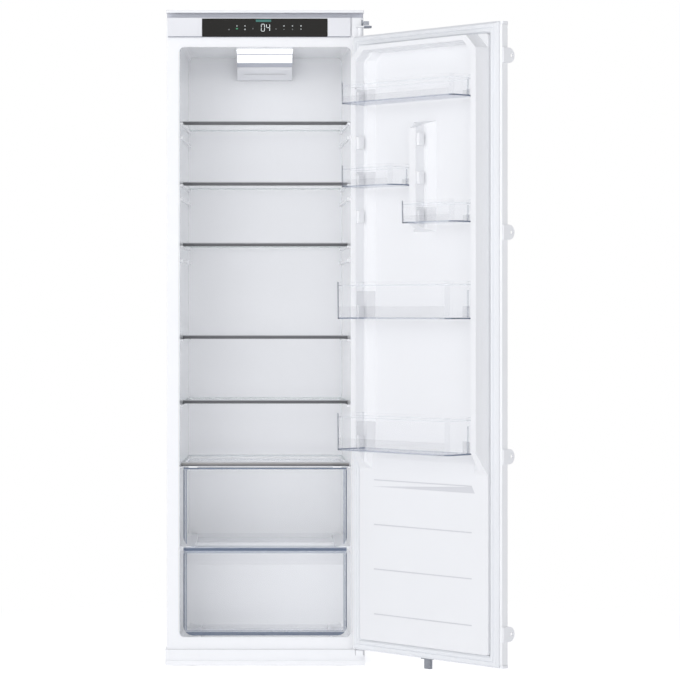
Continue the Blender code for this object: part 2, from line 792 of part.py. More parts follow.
ledges = []
for side in (-1, 1):
    for level in SHELF_LEVELS:
        seat = level - SHELF_THICK / 2 - GAP
        trim_seat = level - TRIM_TALL / 2 - GAP
        past_trim = SHELF_FRONT + TRIM_DEPTH + GAP
        ledges.append(ledge(side, seat, LEDGE_DEPTH, past_trim, seat - trim_seat))
    for level in SHELF_LEVELS[:SPARE_LEDGES]:
        ledges.append(ledge(side, level - SPARE_LEDGE_DROP, LEDGE_DEPTH))
    seat = COVER_LEVEL - SHELF_THICK / 2 - GAP
    trim_seat = COVER_LEVEL - COVER_TRIM_TALL / 2 - GAP
    past_trim = COVER_FRONT + TRIM_DEPTH + GAP
    lower_by = seat - trim_seat
    ledges.append(
        ledge(side, seat, COVER_LEDGE_DEPTH, past_trim, lower_by, COVER_LEDGE_FRONT)
    )
    drawer_seat = UPPER_DRAWER[0] - GAP
    rings = []
    for y in (DRAWER_LEDGE_FRONT, LEDGE_BACK):
        outer = side * (wall_at(y) + OVERLAP)
        inner = side * DRAWER_LEDGE_INNER
        base = STEP_TOP - OVERLAP
        rings.append(
            [(outer, y, base), (inner, y, base), (inner, y, drawer_seat), (outer, y, drawer_seat)]
        )
    ledges.append(rings)
    runner_x = side * (DRAWER_HALF - RUNNER_INSET)
    ledges.append(
        block(
            (runner_x - RUNNER_HALF, RUNNER_FRONT, ROOM_FLOOR - OVERLAP),
            (runner_x + RUNNER_HALF, LOWER_DRAWER[2] - DRAWER_FACE, LOWER_DRAWER[0] - GAP),
        )
    )
join(inner_liner, ledges)

# Glass shelves and their front trims
for i, level in enumerate(SHELF_LEVELS):
    glass_front = SHELF_FRONT + TRIM_WALL + GAP
    front_half = TRIM_HALF - GAP
    back_half = wall_at(SHELF_BACK) - SHELF_SIDE_GAP
    line = (
        (-front_half, glass_front),
        (front_half, glass_front),
        (back_half, SHELF_BACK),
        (-back_half, SHELF_BACK),
    )
    low, high = level - SHELF_THICK / 2, level + SHELF_THICK / 2
    solids(f"shelf_glass_{i + 1}", [along("Z", line, low, high)], CLEAR_GLASS)
    trim = solids(
        f"shelf_trim_{i + 1}",
        [
            block(
                (-TRIM_HALF, SHELF_FRONT, level - TRIM_TALL / 2),
                (TRIM_HALF, SHELF_FRONT + TRIM_DEPTH, level + TRIM_TALL / 2),
            )
        ],
        GREY_TRIM,
    )
    cut(
        trim,
        [
            block(
                (-REACH - TRIM_HALF, SHELF_FRONT + TRIM_WALL, low - GAP),
                (REACH + TRIM_HALF, SHELF_FRONT + REACH, high + GAP),
            )
        ],
    )

# Cover over the drawers
cover_glass_front = COVER_FRONT + TRIM_WALL + GAP
cover_half = COVER_TRIM_HALF - GAP
cover_back_half = wall_at(COVER_BACK) - SHELF_SIDE_GAP
cover_line = (
    (-cover_half, cover_glass_front),
    (cover_half, cover_glass_front),
    (cover_back_half, COVER_BACK),
    (-cover_back_half, COVER_BACK),
)
cover_low = COVER_LEVEL - SHELF_THICK / 2
cover_high = COVER_LEVEL + SHELF_THICK / 2
solids("cover_glass", [along("Z", cover_line, cover_low, cover_high)], CLEAR_GLASS)
cover_trim = solids(
    "cover_trim",
    [
        block(
            (-COVER_TRIM_HALF, COVER_FRONT, COVER_LEVEL - COVER_TRIM_TALL / 2),
            (COVER_TRIM_HALF, COVER_FRONT + TRIM_DEPTH, COVER_LEVEL + COVER_TRIM_TALL / 2),
        )
    ],
    GREY_TRIM,
)
cut(
    cover_trim,
    [
        block(
            (-REACH - COVER_TRIM_HALF, COVER_FRONT + TRIM_WALL, cover_low - GAP),
            (REACH + COVER_TRIM_HALF, COVER_FRONT + REACH, cover_high + GAP),
        )
    ],
)
clip_top = COVER_LEVEL - COVER_TRIM_TALL / 2 + OVERLAP
clip_bottom = COVER_LEVEL - CLIP_DROP
clips = []
for side in (-1, 1):
    inner, outer = sorted(side * (COVER_TRIM_HALF - inset) for inset in CLIP_INSETS)
    clips.append(block((inner, CLIP_FRONT, clip_bottom), (outer, CLIP_BACK + OVERLAP, clip_top)))
join(cover_trim, clips)


def tub(half, bottom, top, radius):
    """The front outline of a drawer with round lower corners."""
    return (
        [(-half, top)]
        + arc(-half + radius, bottom + radius, radius, 2, 1)
        + arc(half - radius, bottom + radius, radius, 3, 1)
        + [(half, top)]
    )


def drawer(name, bottom, top, back):
    """An open bin that narrows toward the back with the room."""
    outer, inner = [], []
    inner_front = DRAWER_FRONT + DRAWER_FACE
    narrowing = DRAWER_NARROWS / (COVER_BACK - DRAWER_FRONT)
    for y in (DRAWER_FRONT, back):
        half = DRAWER_HALF - narrowing * (y - DRAWER_FRONT)
        outer.append([(x, y, z) for x, z in tub(half, bottom, top, DRAWER_CORNER)])
    for y in (inner_front, back - DRAWER_WALL):
        half = DRAWER_HALF - narrowing * (y - DRAWER_FRONT) - DRAWER_WALL
        line = tub(half, bottom + DRAWER_WALL, top + REACH, DRAWER_CORNER - DRAWER_WALL)
        inner.append([(x, y, z) for x, z in line])
    made = solids(name, [outer], CLEAR_PLASTIC)
    cut(made, [inner])
    return made


drawer("drawer_upper", *UPPER_DRAWER)
drawer("drawer_lower", *LOWER_DRAWER)

# Lamp on the ceiling
lamp_ends = (LAMP_CENTRE - LAMP_HALF, LAMP_CENTRE + LAMP_HALF)
diffuser_line, housing_line = [
    [(ROOM_BACK - far, ROOM_CEILING - drop) for far, drop in line]
    for line in (DIFFUSER_LINE, HOUSING_LINE)
]
lamp_diffuser = solids("lamp_diffuser", [along("X", diffuser_line, *lamp_ends)], LIT_PLASTIC)
cut(lamp_diffuser, [from_back(LED_POCKET)])
solids("led_board", [from_back(LED_BOARD)], BOARD_GREEN)
lamp_housing = solids("lamp_housing", [along("X", housing_line, *lamp_ends)], WHITE_PLASTIC)
cut(lamp_housing, [from_back(SENSOR_POCKET)])
solids("temperature_sensor", [from_back(SENSOR)], WHITE_PLASTIC)

# Control fascia
fascia = solids(
    "control_fascia",
    [
        block(
            (FASCIA_LEFT, FASCIA_FRONT, FASCIA_BOTTOM),
            (FASCIA_RIGHT, -GAP, HEADER_TOP),
        )
    ],
    WHITE_PLASTIC,
)
fascia_back = FASCIA_FRONT + FASCIA_FACE
cut(
    fascia,
    [
        block(
            (
                FASCIA_LEFT + FASCIA_SIDE_WALL,
                fascia_back,
                FASCIA_BOTTOM + FASCIA_SIDE_WALL,
            ),
            (FASCIA_RIGHT - FASCIA_SIDE_WALL, REACH, HEADER_TOP - FASCIA_SIDE_WALL),
        ),
        block(
            (DISPLAY_LEFT - GAP, -REACH, FASCIA_BOTTOM - REACH),
            (DISPLAY_RIGHT + GAP, FASCIA_FRONT + DISPLAY_THICK + GAP, DISPLAY_TOP + GAP),
        ),
    ],
)
solids(
    "display_panel",
    [
        along(
            "Y",
            rounded(
                (DISPLAY_LEFT, FASCIA_BOTTOM + GAP), (DISPLAY_RIGHT, DISPLAY_TOP), DISPLAY_CORNER
            ),
            FASCIA_FRONT,
            FASCIA_FRONT + DISPLAY_THICK,
        )
    ],
    BLACK_GLASS,
)
board_front = fascia_back + GAP
board_low = FASCIA_BOTTOM + FASCIA_SIDE_WALL + BOARD_MARGIN
board_high = HEADER_TOP - FASCIA_SIDE_WALL - BOARD_MARGIN
solids(
    "control_board",
    [
        block(
            (-BOARD_HALF, board_front, board_low),
            (BOARD_HALF, board_front + BOARD_THICK, board_high),
        )
    ],
    BOARD_GREEN,
)
end_cover = solids(
    "fascia_end_cover",
    [block((END_COVER_LEFT, FASCIA_FRONT, FASCIA_BOTTOM), (END_COVER_RIGHT, -GAP, HEADER_TOP))],
    WHITE_PLASTIC,
)
cut(
    end_cover,
    [
        block(
            (
                END_COVER_LEFT + END_COVER_WALL,
                FASCIA_FRONT + END_COVER_WALL,
                FASCIA_BOTTOM + END_COVER_WALL,
            ),
            (END_COVER_RIGHT - END_COVER_WALL, REACH, HEADER_TOP - END_COVER_WALL),
        )
    ],
)
foot_pass, upper_foot, upper_boss = [
    block(*moved(box, x=PIVOT_X, z=DOOR_TOP)) for box in (FOOT_PASS, UPPER_FOOT, UPPER_BOSS)
]
cut(end_cover, [foot_pass])

# Upper hinge
plate_line = [(PIVOT_X + x, y) for x, y in UPPER_PLATE_LINE]
upper_bracket = solids(
    "upper_hinge_bracket", [along("Z", plate_line, *UPPER_PLATE)], WHITE_PAINT
)
join(upper_bracket, [upper_foot, upper_boss])
pin_hole = PIN_RADIUS + PIN_PLAY
upper_bore = ((pin_hole, UPPER_PLATE[0] - REACH), (pin_hole, UPPER_PLATE[1] + REACH))
cut(upper_bracket, [turned(PIVOT_X, PIVOT_Y, upper_bore)])
upper_collar = (DOOR_TOP + GAP, UPPER_PLATE[0] - GAP)
solids(
    "upper_hinge_pin",
    [
        turned(
            PIVOT_X,
            PIVOT_Y,
            (
                (PIN_RADIUS, DOOR_TOP - PIN_LAP),
                (PIN_RADIUS, upper_collar[0]),
                (COLLAR_RADIUS, upper_collar[0]),
                (COLLAR_RADIUS, upper_collar[1]),
                (PIN_RADIUS, upper_collar[1]),
                (PIN_RADIUS, UPPER_PLATE[1]),
            ),
        )
    ],
    BARE_STEEL,
)

# Lower hinge
bracket_x0, bracket_x1 = [BODY_HALF - inset for inset in LOWER_BRACKET_INSETS]
bracket_y0, bracket_y1 = LOWER_BRACKET_FACES
lower_bracket = solids(
    "lower_hinge_bracket",
    [
        along(
            "X",
            (
                (bracket_y0, LOWER_BRACKET_BOTTOM),
                (bracket_y1, LOWER_BRACKET_BOTTOM),
                (bracket_y1, LOWER_BRACKET_BACK_TOP),
                (LOWER_BRACKET_STEP, LOWER_BRACKET_BACK_TOP),
                (LOWER_BRACKET_STEP, LOWER_BRACKET_TOP),
                (bracket_y0, LOWER_BRACKET_TOP),
            ),
            bracket_x0,
            bracket_x1,
        )
    ],
    BARE_STEEL,
)
lower_bore = ((pin_hole, LOWER_PIN_FOOT - GAP), (pin_hole, LOWER_BRACKET_TOP + REACH))
cut(lower_bracket, [turned(PIVOT_X, PIVOT_Y, lower_bore)])
lower_collar = (LOWER_BRACKET_TOP + GAP, DOOR_BOTTOM - GAP)
solids(
    "lower_hinge_pin",
    [
        turned(
            PIVOT_X,
            PIVOT_Y,
            (
                (PIN_RADIUS, LOWER_PIN_FOOT),
                (PIN_RADIUS, lower_collar[0]),
                (COLLAR_RADIUS, lower_collar[0]),
                (COLLAR_RADIUS, lower_collar[1]),
                (PIN_RADIUS, lower_collar[1]),
                (PIN_RADIUS, DOOR_BOTTOM + PIN_LAP),
            ),
        )
    ],
    BARE_STEEL,
)

# Base
plinth_line = (
    (PLINTH_LIP, 0),
    (PLINTH_BACK, 0),
    (PLINTH_BACK, PLINTH_TOP),
    (PLINTH_FRONT, PLINTH_TOP),
    (PLINTH_FRONT, PLINTH_LIP_TALL),
    (PLINTH_LIP, PLINTH_LIP_TALL),
)
plinth = solids("base_plinth", [along("X", plinth_line, -PLINTH_HALF, PLINTH_HALF)], WHITE_PLASTIC)
plinth_inside = PLINTH_HALF - PLINTH_WALL
cut(
    plinth,
    [
        block(
            (-plinth_inside, PLINTH_FRONT + PLINTH_WALL, UNDERSIDE_RISE + PLINTH_WALL),
            (plinth_inside, PLINTH_BACK + REACH, PLINTH_TOP - PLINTH_WALL),
        )
    ],
)
cut(
    plinth,
    [
        block(
            (-PLINTH_HALF - REACH, UNDERSIDE_FRONT, -REACH),
            (PLINTH_HALF + REACH, PLINTH_BACK + REACH, UNDERSIDE_RISE),
        )
    ],
)
cut(
    plinth,
    [
        block(
            (x - JOINT_WIDE / 2, -REACH, PLINTH_LIP_TALL + JOINT_WIDE),
            (x + JOINT_WIDE / 2, PLINTH_FRONT + JOINT_WIDE, PLINTH_TOP + REACH),
        )
        for x in PLINTH_JOINTS
    ],
)
cut(
    plinth,
    [
        block(
            (BODY_HALF - NOTCH_INSET, NOTCH_FRONT, LOWER_BRACKET_BOTTOM - GAP),
            (BODY_HALF + NOTCH_PROUD, LOWER_BRACKET_FACES[1] + GAP, PLINTH_TOP + REACH),
        )
    ],
)
stem_hole = FOOT_STEM + PIN_PLAY
stem_bore = ((stem_hole, -REACH), (stem_hole, UNDERSIDE_RISE + PLINTH_WALL + OVERLAP))
cut(plinth, [turned(x, FOOT_Y, stem_bore) for x in FEET_X])

# Front feet
for name, x in zip(("foot_front_left", "foot_front_right"), FEET_X):
    axis = bpy.data.objects.new(f"{name}_axis", None)
    bpy.context.scene.collection.objects.link(axis)
    axis.location = (x, FOOT_Y, 0)
    foot = solids(
        name,
        [turned(0, 0, ((FOOT_STEM, 0), (FOOT_STEM, FOOT_STEM_TOP)), FOOT_SIDES)],
        WHITE_PLASTIC,
        axis,
    )
    disc = ((FOOT_RADIUS, FOOT_BOTTOM), (FOOT_RADIUS, UNDERSIDE_RISE - GAP))
    join(foot, [turned(0, 0, disc)], axis)

# Base tray
tray = solids(
    "base_tray",
    [block((-TRAY_HALF, TRAY_FRONT, TRAY_BOTTOM), (TRAY_HALF, BODY_BACK, PLINTH_TOP))],
    BARE_STEEL,
)
tray_inside = TRAY_HALF - TRAY_SHEET
cut(
    tray,
    [
        block(
            (-tray_inside, TRAY_FRONT + TRAY_SHEET, TRAY_BOTTOM + TRAY_SHEET),
            (tray_inside, BODY_BACK - TRAY_SHEET, PLINTH_TOP + REACH),
        )
    ],
)
pad_y0, pad_y1 = [BODY_BACK - distance for distance in SKID_PAD_FROM_BACK]
pads = []
for side in (-1, 1):
    inner, outer = sorted(side * (BODY_HALF - inset) for inset in SKID_PAD_INSETS)
    pads.append(block((inner, pad_y0, FOOT_BOTTOM), (outer, pad_y1, TRAY_BOTTOM + TRAY_SHEET / 2)))
join(tray, pads)

# Compressor and what stands on it
compressor = solids(
    "compressor", [turned(COMPRESSOR_X, COMPRESSOR_Y, COMPRESSOR_LINE)], BLACK_PAINT
)
join(compressor, [block(*moved(COMPRESSOR_PLATE, COMPRESSOR_X, COMPRESSOR_Y))])
stand_line = (
    (COMPRESSOR_FOOT_RADIUS, TRAY_BOTTOM + TRAY_SHEET + GAP),
    (COMPRESSOR_FOOT_RADIUS, COMPRESSOR_PLATE[0][2] + OVERLAP),
)
stand_x, stand_y = COMPRESSOR_FEET
join(
    compressor,
    [
        turned(COMPRESSOR_X + a * stand_x, COMPRESSOR_Y + b * stand_y, stand_line, TUBE_SIDES)
        for a in (-1, 1)
        for b in (-1, 1)
    ],
)
widest = max(radius for radius, _ in COMPRESSOR_LINE) + GAP
terminal_box = moved(TERMINAL_BOX, COMPRESSOR_X, COMPRESSOR_Y)
terminal_cover = solids("terminal_cover", [block(*terminal_box)], BLACK_PAINT)
cut(
    terminal_cover,
    [turned(COMPRESSOR_X, COMPRESSOR_Y, ((widest, 0), (widest, COMPARTMENT_TOP)))],
)
drip_box = moved(DRIP_TRAY, COMPRESSOR_X, COMPRESSOR_Y)
drip_tray = solids("drip_tray", [block(*drip_box)], BLACK_PAINT)
(drip_x0, drip_y0, drip_z0), (drip_x1, drip_y1, drip_z1) = drip_box
cut(
    drip_tray,
    [
        block(
            (drip_x0 + DRIP_TRAY_WALL, drip_y0 + DRIP_TRAY_WALL, drip_z0 + DRIP_TRAY_WALL),
            (drip_x1 - DRIP_TRAY_WALL, drip_y1 - DRIP_TRAY_WALL, drip_z1 + REACH),
        )
    ],
)

# Cooling circuit
dryer_x, dryer_y = COMPRESSOR_X + DRYER_SPOT[0], COMPRESSOR_Y + DRYER_SPOT[1]
solids("filter_dryer", [turned(dryer_x, dryer_y, DRYER_LINE)], COPPER)
suction_path = [(COMPRESSOR_X, COMPRESSOR_Y + y, z) for y, z in SUCTION_BEND]
suction_path.append((*suction_path[-1][:2], PIPE_END))
solids("suction_pipe", [swept(suction_path, PIPE_RADIUS)], COPPER)
liquid_path = [(dryer_x, dryer_y, z) for z in (DRYER_LINE[-1][1] + GAP, PIPE_END)]
solids("liquid_pipe", [swept(liquid_path, THIN_PIPE_RADIUS)], COPPER)
plate_front, plate_back = [ROOM_BACK + distance for distance in EVAPORATOR_FACES]
plate_low, plate_high = EVAPORATOR_ENDS
evaporator = solids(
    "evaporator",
    [
        block(
            (-EVAPORATOR_HALF, plate_front, plate_low),
            (EVAPORATOR_HALF, plate_back, plate_high),
        )
    ],
    ALUMINIUM,
)
evaporator_path = snake(
    EVAPORATOR_TUBE_HALF,
    ROOM_BACK + EVAPORATOR_TUBE_AT,
    plate_low + EVAPORATOR_TUBE_INSET,
    plate_high - EVAPORATOR_TUBE_INSET,
    EVAPORATOR_PASSES,
)
join(evaporator, [swept(evaporator_path, EVAPORATOR_TUBE_RADIUS)])
condenser_path = snake(
    CONDENSER_HALF, BODY_BACK + CONDENSER_AT, *CONDENSER_ENDS, CONDENSER_PASSES
)
condenser = solids("condenser", [swept(condenser_path, THIN_PIPE_RADIUS)], BLACK_PAINT)
wire_front, wire_back = [BODY_BACK + distance for distance in WIRE_FACES]
wires = []
for i in range(WIRE_COUNT):
    x = WIRE_SPAN * (2 * i / (WIRE_COUNT - 1) - 1)
    wires.append(
        block(
            (x - WIRE_WIDE / 2, wire_front, CONDENSER_ENDS[0] - WIRE_OVERRUN),
            (x + WIRE_WIDE / 2, wire_back, CONDENSER_ENDS[1] + WIRE_OVERRUN),
        )
    )
join(condenser, wires)
spacers = []
for side in (-1, 1):
    inner, outer = sorted(side * spot for spot in SPACER_X)
    for level in CONDENSER_ENDS:
        z = level - SPACER_DROP
        spacers.append(
            block(
                (inner, BACK_FACE + GAP, z), (outer, BODY_BACK + SPACER_FACE, z + SPACER_TALL)
            )
        )
join(condenser, spacers)
inlet_front = BODY_BACK + GAP
solids(
    "mains_inlet",
    [
        block(
            (INLET_X[0], inlet_front, INLET_LEVELS[0]),
            (INLET_X[1], inlet_front + INLET_THICK, INLET_LEVELS[1]),
        )
    ],
    BLACK_PAINT,
)

# Door, drawn closed about its pivot and then swung open
door_axis = bpy.data.objects.new("door_axis", None)
bpy.context.scene.collection.objects.link(door_axis)
door_axis.location = (PIVOT_X, PIVOT_Y, 0)
door_axis.rotation_euler = (0, 0, OPEN_ANGLE)


def door_spot(w, h, z):
    """From distances off the hinge edge and the rim to the pivot's frame."""
    return (DOOR_EDGE_X - w - PIVOT_X, RIM_Y + h - PIVOT_Y, z)


def door_block(low, high):
    (w0, h0, z0), (w1, h1, z1) = low, high
    return [
        [door_spot(w0, h0, z), door_spot(w1, h0, z), door_spot(w1, h1, z), door_spot(w0, h1, z)]
        for z in (z0, z1)
    ]


def door_layers(layers):
    """Rings across the door, each an outline of widths and heights at its own depth."""
    return [[door_spot(w, h, z) for w, z in line] for h, line in layers]


def door_upright(line, start, end):
    """An outline of widths and depths drawn out upwards."""
    return [[door_spot(w, h, z) for w, h in line] for z in (start, end)]


def door_frame(side, low, high):
    """Two opposite corners of an outline in from the door's sides, foot and top."""
    return ((side, DOOR_BOTTOM + low), (DOOR_WIDE - side, DOOR_TOP - high))


# Door caps
cap_line = rounded((0, CAP_OUTER), (DOOR_WIDE, -GAP), CAP_CORNER)
hole_w = DOOR_EDGE_X - PIVOT_X
hole_h = PIVOT_Y - RIM_Y
for name, low, high in (
    ("door_cap_bottom", DOOR_BOTTOM, DOOR_BOTTOM + CAP_TALL),
    ("door_cap_top", DOOR_TOP - CAP_TALL, DOOR_TOP),
):
    cap = solids(name, [door_upright(cap_line, low, high)], WHITE_PLASTIC, door_axis)
    hole = circle(hole_w, hole_h, pin_hole)
    cut(cap, [door_upright(hole, low - REACH, high + REACH)], door_axis)

# Door skin
skin_low = (SKIN_INSET, SKIN_OUTER, DOOR_BOTTOM + CAP_TALL + GAP)
skin_high = (DOOR_WIDE - SKIN_INSET, 0, DOOR_TOP - CAP_TALL - GAP)
skin = solids("door_panel", [door_block(skin_low, skin_high)], DOOR_WHITE, door_axis)
skin_room = (
    [value + SKIN_SHEET for value in skin_low],
    [value - SKIN_SHEET for value in skin_high],
)
skin_mouth = (
    (skin_low[0] + SKIN_RETURN, -SKIN_SHEET - OVERLAP, skin_low[2] + SKIN_RETURN),
    (skin_high[0] - SKIN_RETURN, REACH, skin_high[2] - SKIN_RETURN),
)
cut(skin, [door_block(*skin_room)], door_axis)
cut(skin, [door_block(*skin_mouth)], door_axis)

# Door foam
inset = SKIN_SHEET + GAP
(under_w0, under_z0), (under_w1, under_z1) = door_frame(*LINER_UNDER)
door_foam = solids(
    "door_foam",
    [
        door_block(
            (skin_low[0] + inset, skin_low[1] + inset, skin_low[2] + inset),
            (skin_high[0] - inset, DOOR_FOAM_FACE, skin_high[2] - inset),
        )
    ],
    FOAM,
    door_axis,
)
core_w0, core_w1 = CORE_SPAN
core_z0, core_z1 = CORE_ENDS
core_spans = ((core_w0, core_w1), (DOOR_WIDE - core_w1, DOOR_WIDE - core_w0))
join(
    door_foam,
    [
        door_block(
            (under_w0 + GAP, DOOR_FOAM_FACE - OVERLAP, under_z0 + GAP),
            (under_w1 - GAP, DOOR_FOAM_HIGH, under_z1 - GAP),
        )
    ],
    door_axis,
)
join(
    door_foam,
    [
        door_block(
            (under_w0 + GAP, 0, under_z0 + GAP),
            (under_w1 - GAP, DOOR_FOAM_LOW, LOW_PLATEAU_TOP - GAP),
        )
    ]
    + [
        door_block((w0 + GAP, 0, core_z0 + GAP), (w1 - GAP, CORE_FACE - GAP, core_z1 - GAP))
        for w0, w1 in core_spans
    ],
    door_axis,
)


def bay(h, side, rise, drop, corner):
    """A depth and a tall outline whose two upper corners are cut off at 45 degrees."""
    low, high = LOW_RACK + rise, DOOR_TOP - drop
    start, end = side, DOOR_WIDE - side
    line = (
        (start, low),
        (end, low),
        (end, high - corner),
        (end - corner, high),
        (start + corner, high),
        (start, high - corner),
    )
    return (h, line)


def lug(start, end, bottom):
    """One peg that a rack's slot slides over."""
    low, high = sorted((start, end))
    return door_block((low, LUG_FACES[0], bottom), (high, LUG_FACES[1], bottom + LUG_TALL))


def end_lugs(start, end, bottom):
    return [
        lug(start - LUG_ROOT, start + LUG_IN, bottom),
        lug(end + LUG_ROOT, end - LUG_IN, bottom),
    ]


# Door liner
(border_w0, border_w1) = (skin_low[0] + SKIN_RETURN + GAP, skin_high[0] - SKIN_RETURN - GAP)
door_liner = solids(
    "door_liner",
    [
        door_block(
            (border_w0, BORDER[0], DOOR_BOTTOM + BORDER_END),
            (border_w1, BORDER[1], DOOR_TOP - BORDER_END),
        )
    ],
    DOOR_WHITE,
    door_axis,
)
join(
    door_liner,
    [
        door_layers(
            (
                (BORDER[0] + OVERLAP, rounded(*door_frame(*PLATEAU_FOOT), PLATEAU_CORNER)),
                (PLATEAU, rounded(*door_frame(*PLATEAU_FACE), PLATEAU_CORNER)),
            )
        )
    ],
    door_axis,
)
ridge_foot = (RIDGE_FOOT[0] - OVERLAP, *RIDGE_FOOT[1:])
join(door_liner, [door_layers((bay(*ridge_foot), bay(*RIDGE_CREST)))], door_axis)
cut(door_liner, [door_layers([bay(*level) for level in BAY_OPEN_LEVELS])], door_axis)
cut(door_liner, [door_layers([bay(*level) for level in BAY_LEVELS])], door_axis)
rail_layers = []
for h, half, foot, head in RAIL_LEVELS:
    w0, w1 = RAIL_CENTRE - half, RAIL_CENTRE + half
    z0, z1 = RAIL_FOOT + foot, RAIL_HEAD + head
    rail_layers.append((h, ((w0, z0), (w1, z0), (w1, z1), (w0, z1))))
join(door_liner, [door_layers(rail_layers)], door_axis)
rack_spans = [(RACK_SIDE, DOOR_WIDE - RACK_SIDE)] * len(RACK_LEVELS)
rack_spans[1] = (RACK_SIDE, RAIL_CENTRE - HALF_RACK_GAP)
rack_spans[2] = (RAIL_CENTRE + HALF_RACK_GAP, DOOR_WIDE - RACK_SIDE)
lugs = []
for (start, end), bottom in zip(rack_spans, RACK_LEVELS):
    lugs += end_lugs(start, end, bottom + LUG_LIFT)
for (start, end), bottom in zip(rack_spans[1:3], RACK_LEVELS[1:3]):
    for level in SPARE_LUGS:
        if abs(level - bottom) > LUG_TALL:
            lugs += end_lugs(start, end, level + LUG_LIFT)
join(door_liner, lugs, door_axis)
cut(
    door_liner,
    [
        door_block(
            (GROOVE_INSETS[0], PLATEAU - GROOVE_DEPTH, z - GROOVE_TALL / 2),
            (DOOR_WIDE - GROOVE_INSETS[1], PLATEAU + REACH, z + GROOVE_TALL / 2),
        )
        for z in GROOVE_LEVELS
    ],
    door_axis,
)
cut(
    door_liner,
    [door_block((under_w0, -REACH, under_z0), (under_w1, UNDER_HIGH, under_z1))],
    door_axis,
)
cut(
    door_liner,
    [door_block((under_w0, 0, under_z0), (under_w1, UNDER_LOW, LOW_PLATEAU_TOP))]
    + [door_block((w0, 0, core_z0), (w1, CORE_FACE, core_z1)) for w0, w1 in core_spans],
    door_axis,
)

# Door gasket, one section carried round the door
(seal_w0, seal_z0), (seal_w1, seal_z1) = door_frame(GASKET_SIDE, GASKET_LIFT, 0)
seal_shape = bmesh.new()
seal_rows = []
for inset, h in GASKET_SECTION:
    corner = GASKET_CORNER if inset < GASKET_CORNER else GASKET_INNER_CORNER
    line = rounded((seal_w0 + inset, seal_z0 + inset), (seal_w1 - inset, seal_z1 - inset), corner)
    seal_rows.append([seal_shape.verts.new(door_spot(w, h, z)) for w, z in line])
for row, after in zip(seal_rows, seal_rows[1:] + seal_rows[:1]):
    for i, corner in enumerate(row):
        j = (i + 1) % len(row)
        seal_shape.faces.new((corner, row[j], after[j], after[i]))
bmesh.ops.recalc_face_normals(seal_shape, faces=seal_shape.faces)
seal_mesh = bpy.data.meshes.new("door_gasket")
seal_shape.to_mesh(seal_mesh)
seal_shape.free()
seal_mesh.materials.append(SOFT_WHITE)
gasket = bpy.data.objects.new("door_gasket", seal_mesh)
bpy.context.scene.collection.objects.link(gasket)
gasket.parent = door_axis

# Sliders for the furniture door
for i, level in enumerate(SLIDER_LEVELS):
    nose = arc(SLIDER_NOSE, level, SLIDER_RADIUS, 1, 2, 2 * ARC_STEPS)
    line = [(SLIDER_ROOT, level - SLIDER_RADIUS), (SLIDER_ROOT, level + SLIDER_RADIUS)] + nose
    faces = (SLIDER_IN, SLIDER_IN + SLIDER_THICK)
    rings = [[door_spot(w, h, z) for h, z in line] for w in faces]
    slider = solids(f"slider_{i + 1}", [rings], WHITE_PLASTIC, door_axis)
    hole = circle(SLIDER_HOLE_AT, level, SLIDER_HOLE)
    through = (SLIDER_IN - REACH, SLIDER_IN + REACH)
    cut(slider, [[[door_spot(w, h, z) for h, z in hole] for w in through]], door_axis)

# Tab under the door
tab_plate = door_block(
    (TAB_CENTRE - TAB_PLATE_HALF, TAB_PLATE_FACES[0], TAB_PLATE_TOP - TAB_PLATE_THICK),
    (TAB_CENTRE + TAB_PLATE_HALF, TAB_PLATE_FACES[1], TAB_PLATE_TOP),
)
tab_tongue = door_block(
    (TAB_CENTRE - TAB_HALF, TAB_FACES[0], TAB_PLATE_TOP - TAB_DROP),
    (TAB_CENTRE + TAB_HALF, TAB_FACES[1], TAB_PLATE_TOP - OVERLAP),
)
tab = solids("door_bottom_tab", [tab_plate], BARE_STEEL, door_axis)
join(tab, [tab_tongue], door_axis)


def rack_line(start, end, depth, margin):
    """A bin's plan: round corners in front, nearly square ones at the back."""
    back = RACK_BACK + margin
    left, right, front = start + margin, end - margin, depth - margin
    corner, heel = RACK_CORNER - margin, RACK_HEEL - margin / 2
    return (
        arc(left + heel, back + heel, heel, 2, 1, 1)
        + arc(right - heel, back + heel, heel, 3, 1, 1)
        + arc(right - corner, front - corner, corner, 0, 1)
        + arc(left + corner, front - corner, corner, 1, 1)
    )


# Door racks
for i, (start, end) in enumerate(rack_spans):
    depth = RACK_DEPTHS[i]
    bottom = RACK_LEVELS[i]
    top = bottom + RACK_HEIGHTS[i]
    outer = [
        [door_spot(w, h, z) for w, h in rack_line(start, end, depth, margin)]
        for z, margin in ((bottom, RACK_DRAFT), (top, 0))
    ]
    inner_stops = ((bottom + RACK_WALL, RACK_WALL + RACK_DRAFT), (top + RACK_WALL, RACK_WALL))
    inner = [
        [door_spot(w, h, z) for w, h in rack_line(start, end, depth, margin)]
        for z, margin in inner_stops
    ]
    rack = solids(f"rack_{i + 1}", [outer], CLEAR_PLASTIC, door_axis)
    cut(rack, [inner], door_axis)
    ends = ((start + RACK_DRAFT, start + RACK_BLOCK_WIDE), (end - RACK_BLOCK_WIDE, end - RACK_DRAFT))
    block_faces = (RACK_BACK + RACK_WALL / 2, RACK_BLOCK_FACE)
    join(
        rack,
        [
            door_block(
                (w0, block_faces[0], bottom + RACK_WALL / 2),
                (w1, block_faces[1], top - RACK_BLOCK_DROP),
            )
            for w0, w1 in ends
        ],
        door_axis,
    )
    slots = ((start - REACH, start + SLOT_WIDE), (end - SLOT_WIDE, end + REACH))
    cut(
        rack,
        [
            door_block(
                (w0, SLOT_FACES[0], bottom - REACH), (w1, SLOT_FACES[1], bottom + SLOT_TALL)
            )
            for w0, w1 in slots
        ],
        door_axis,
    )
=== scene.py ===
import json
import math

import bmesh
import bpy
from mathutils import Matrix, Vector

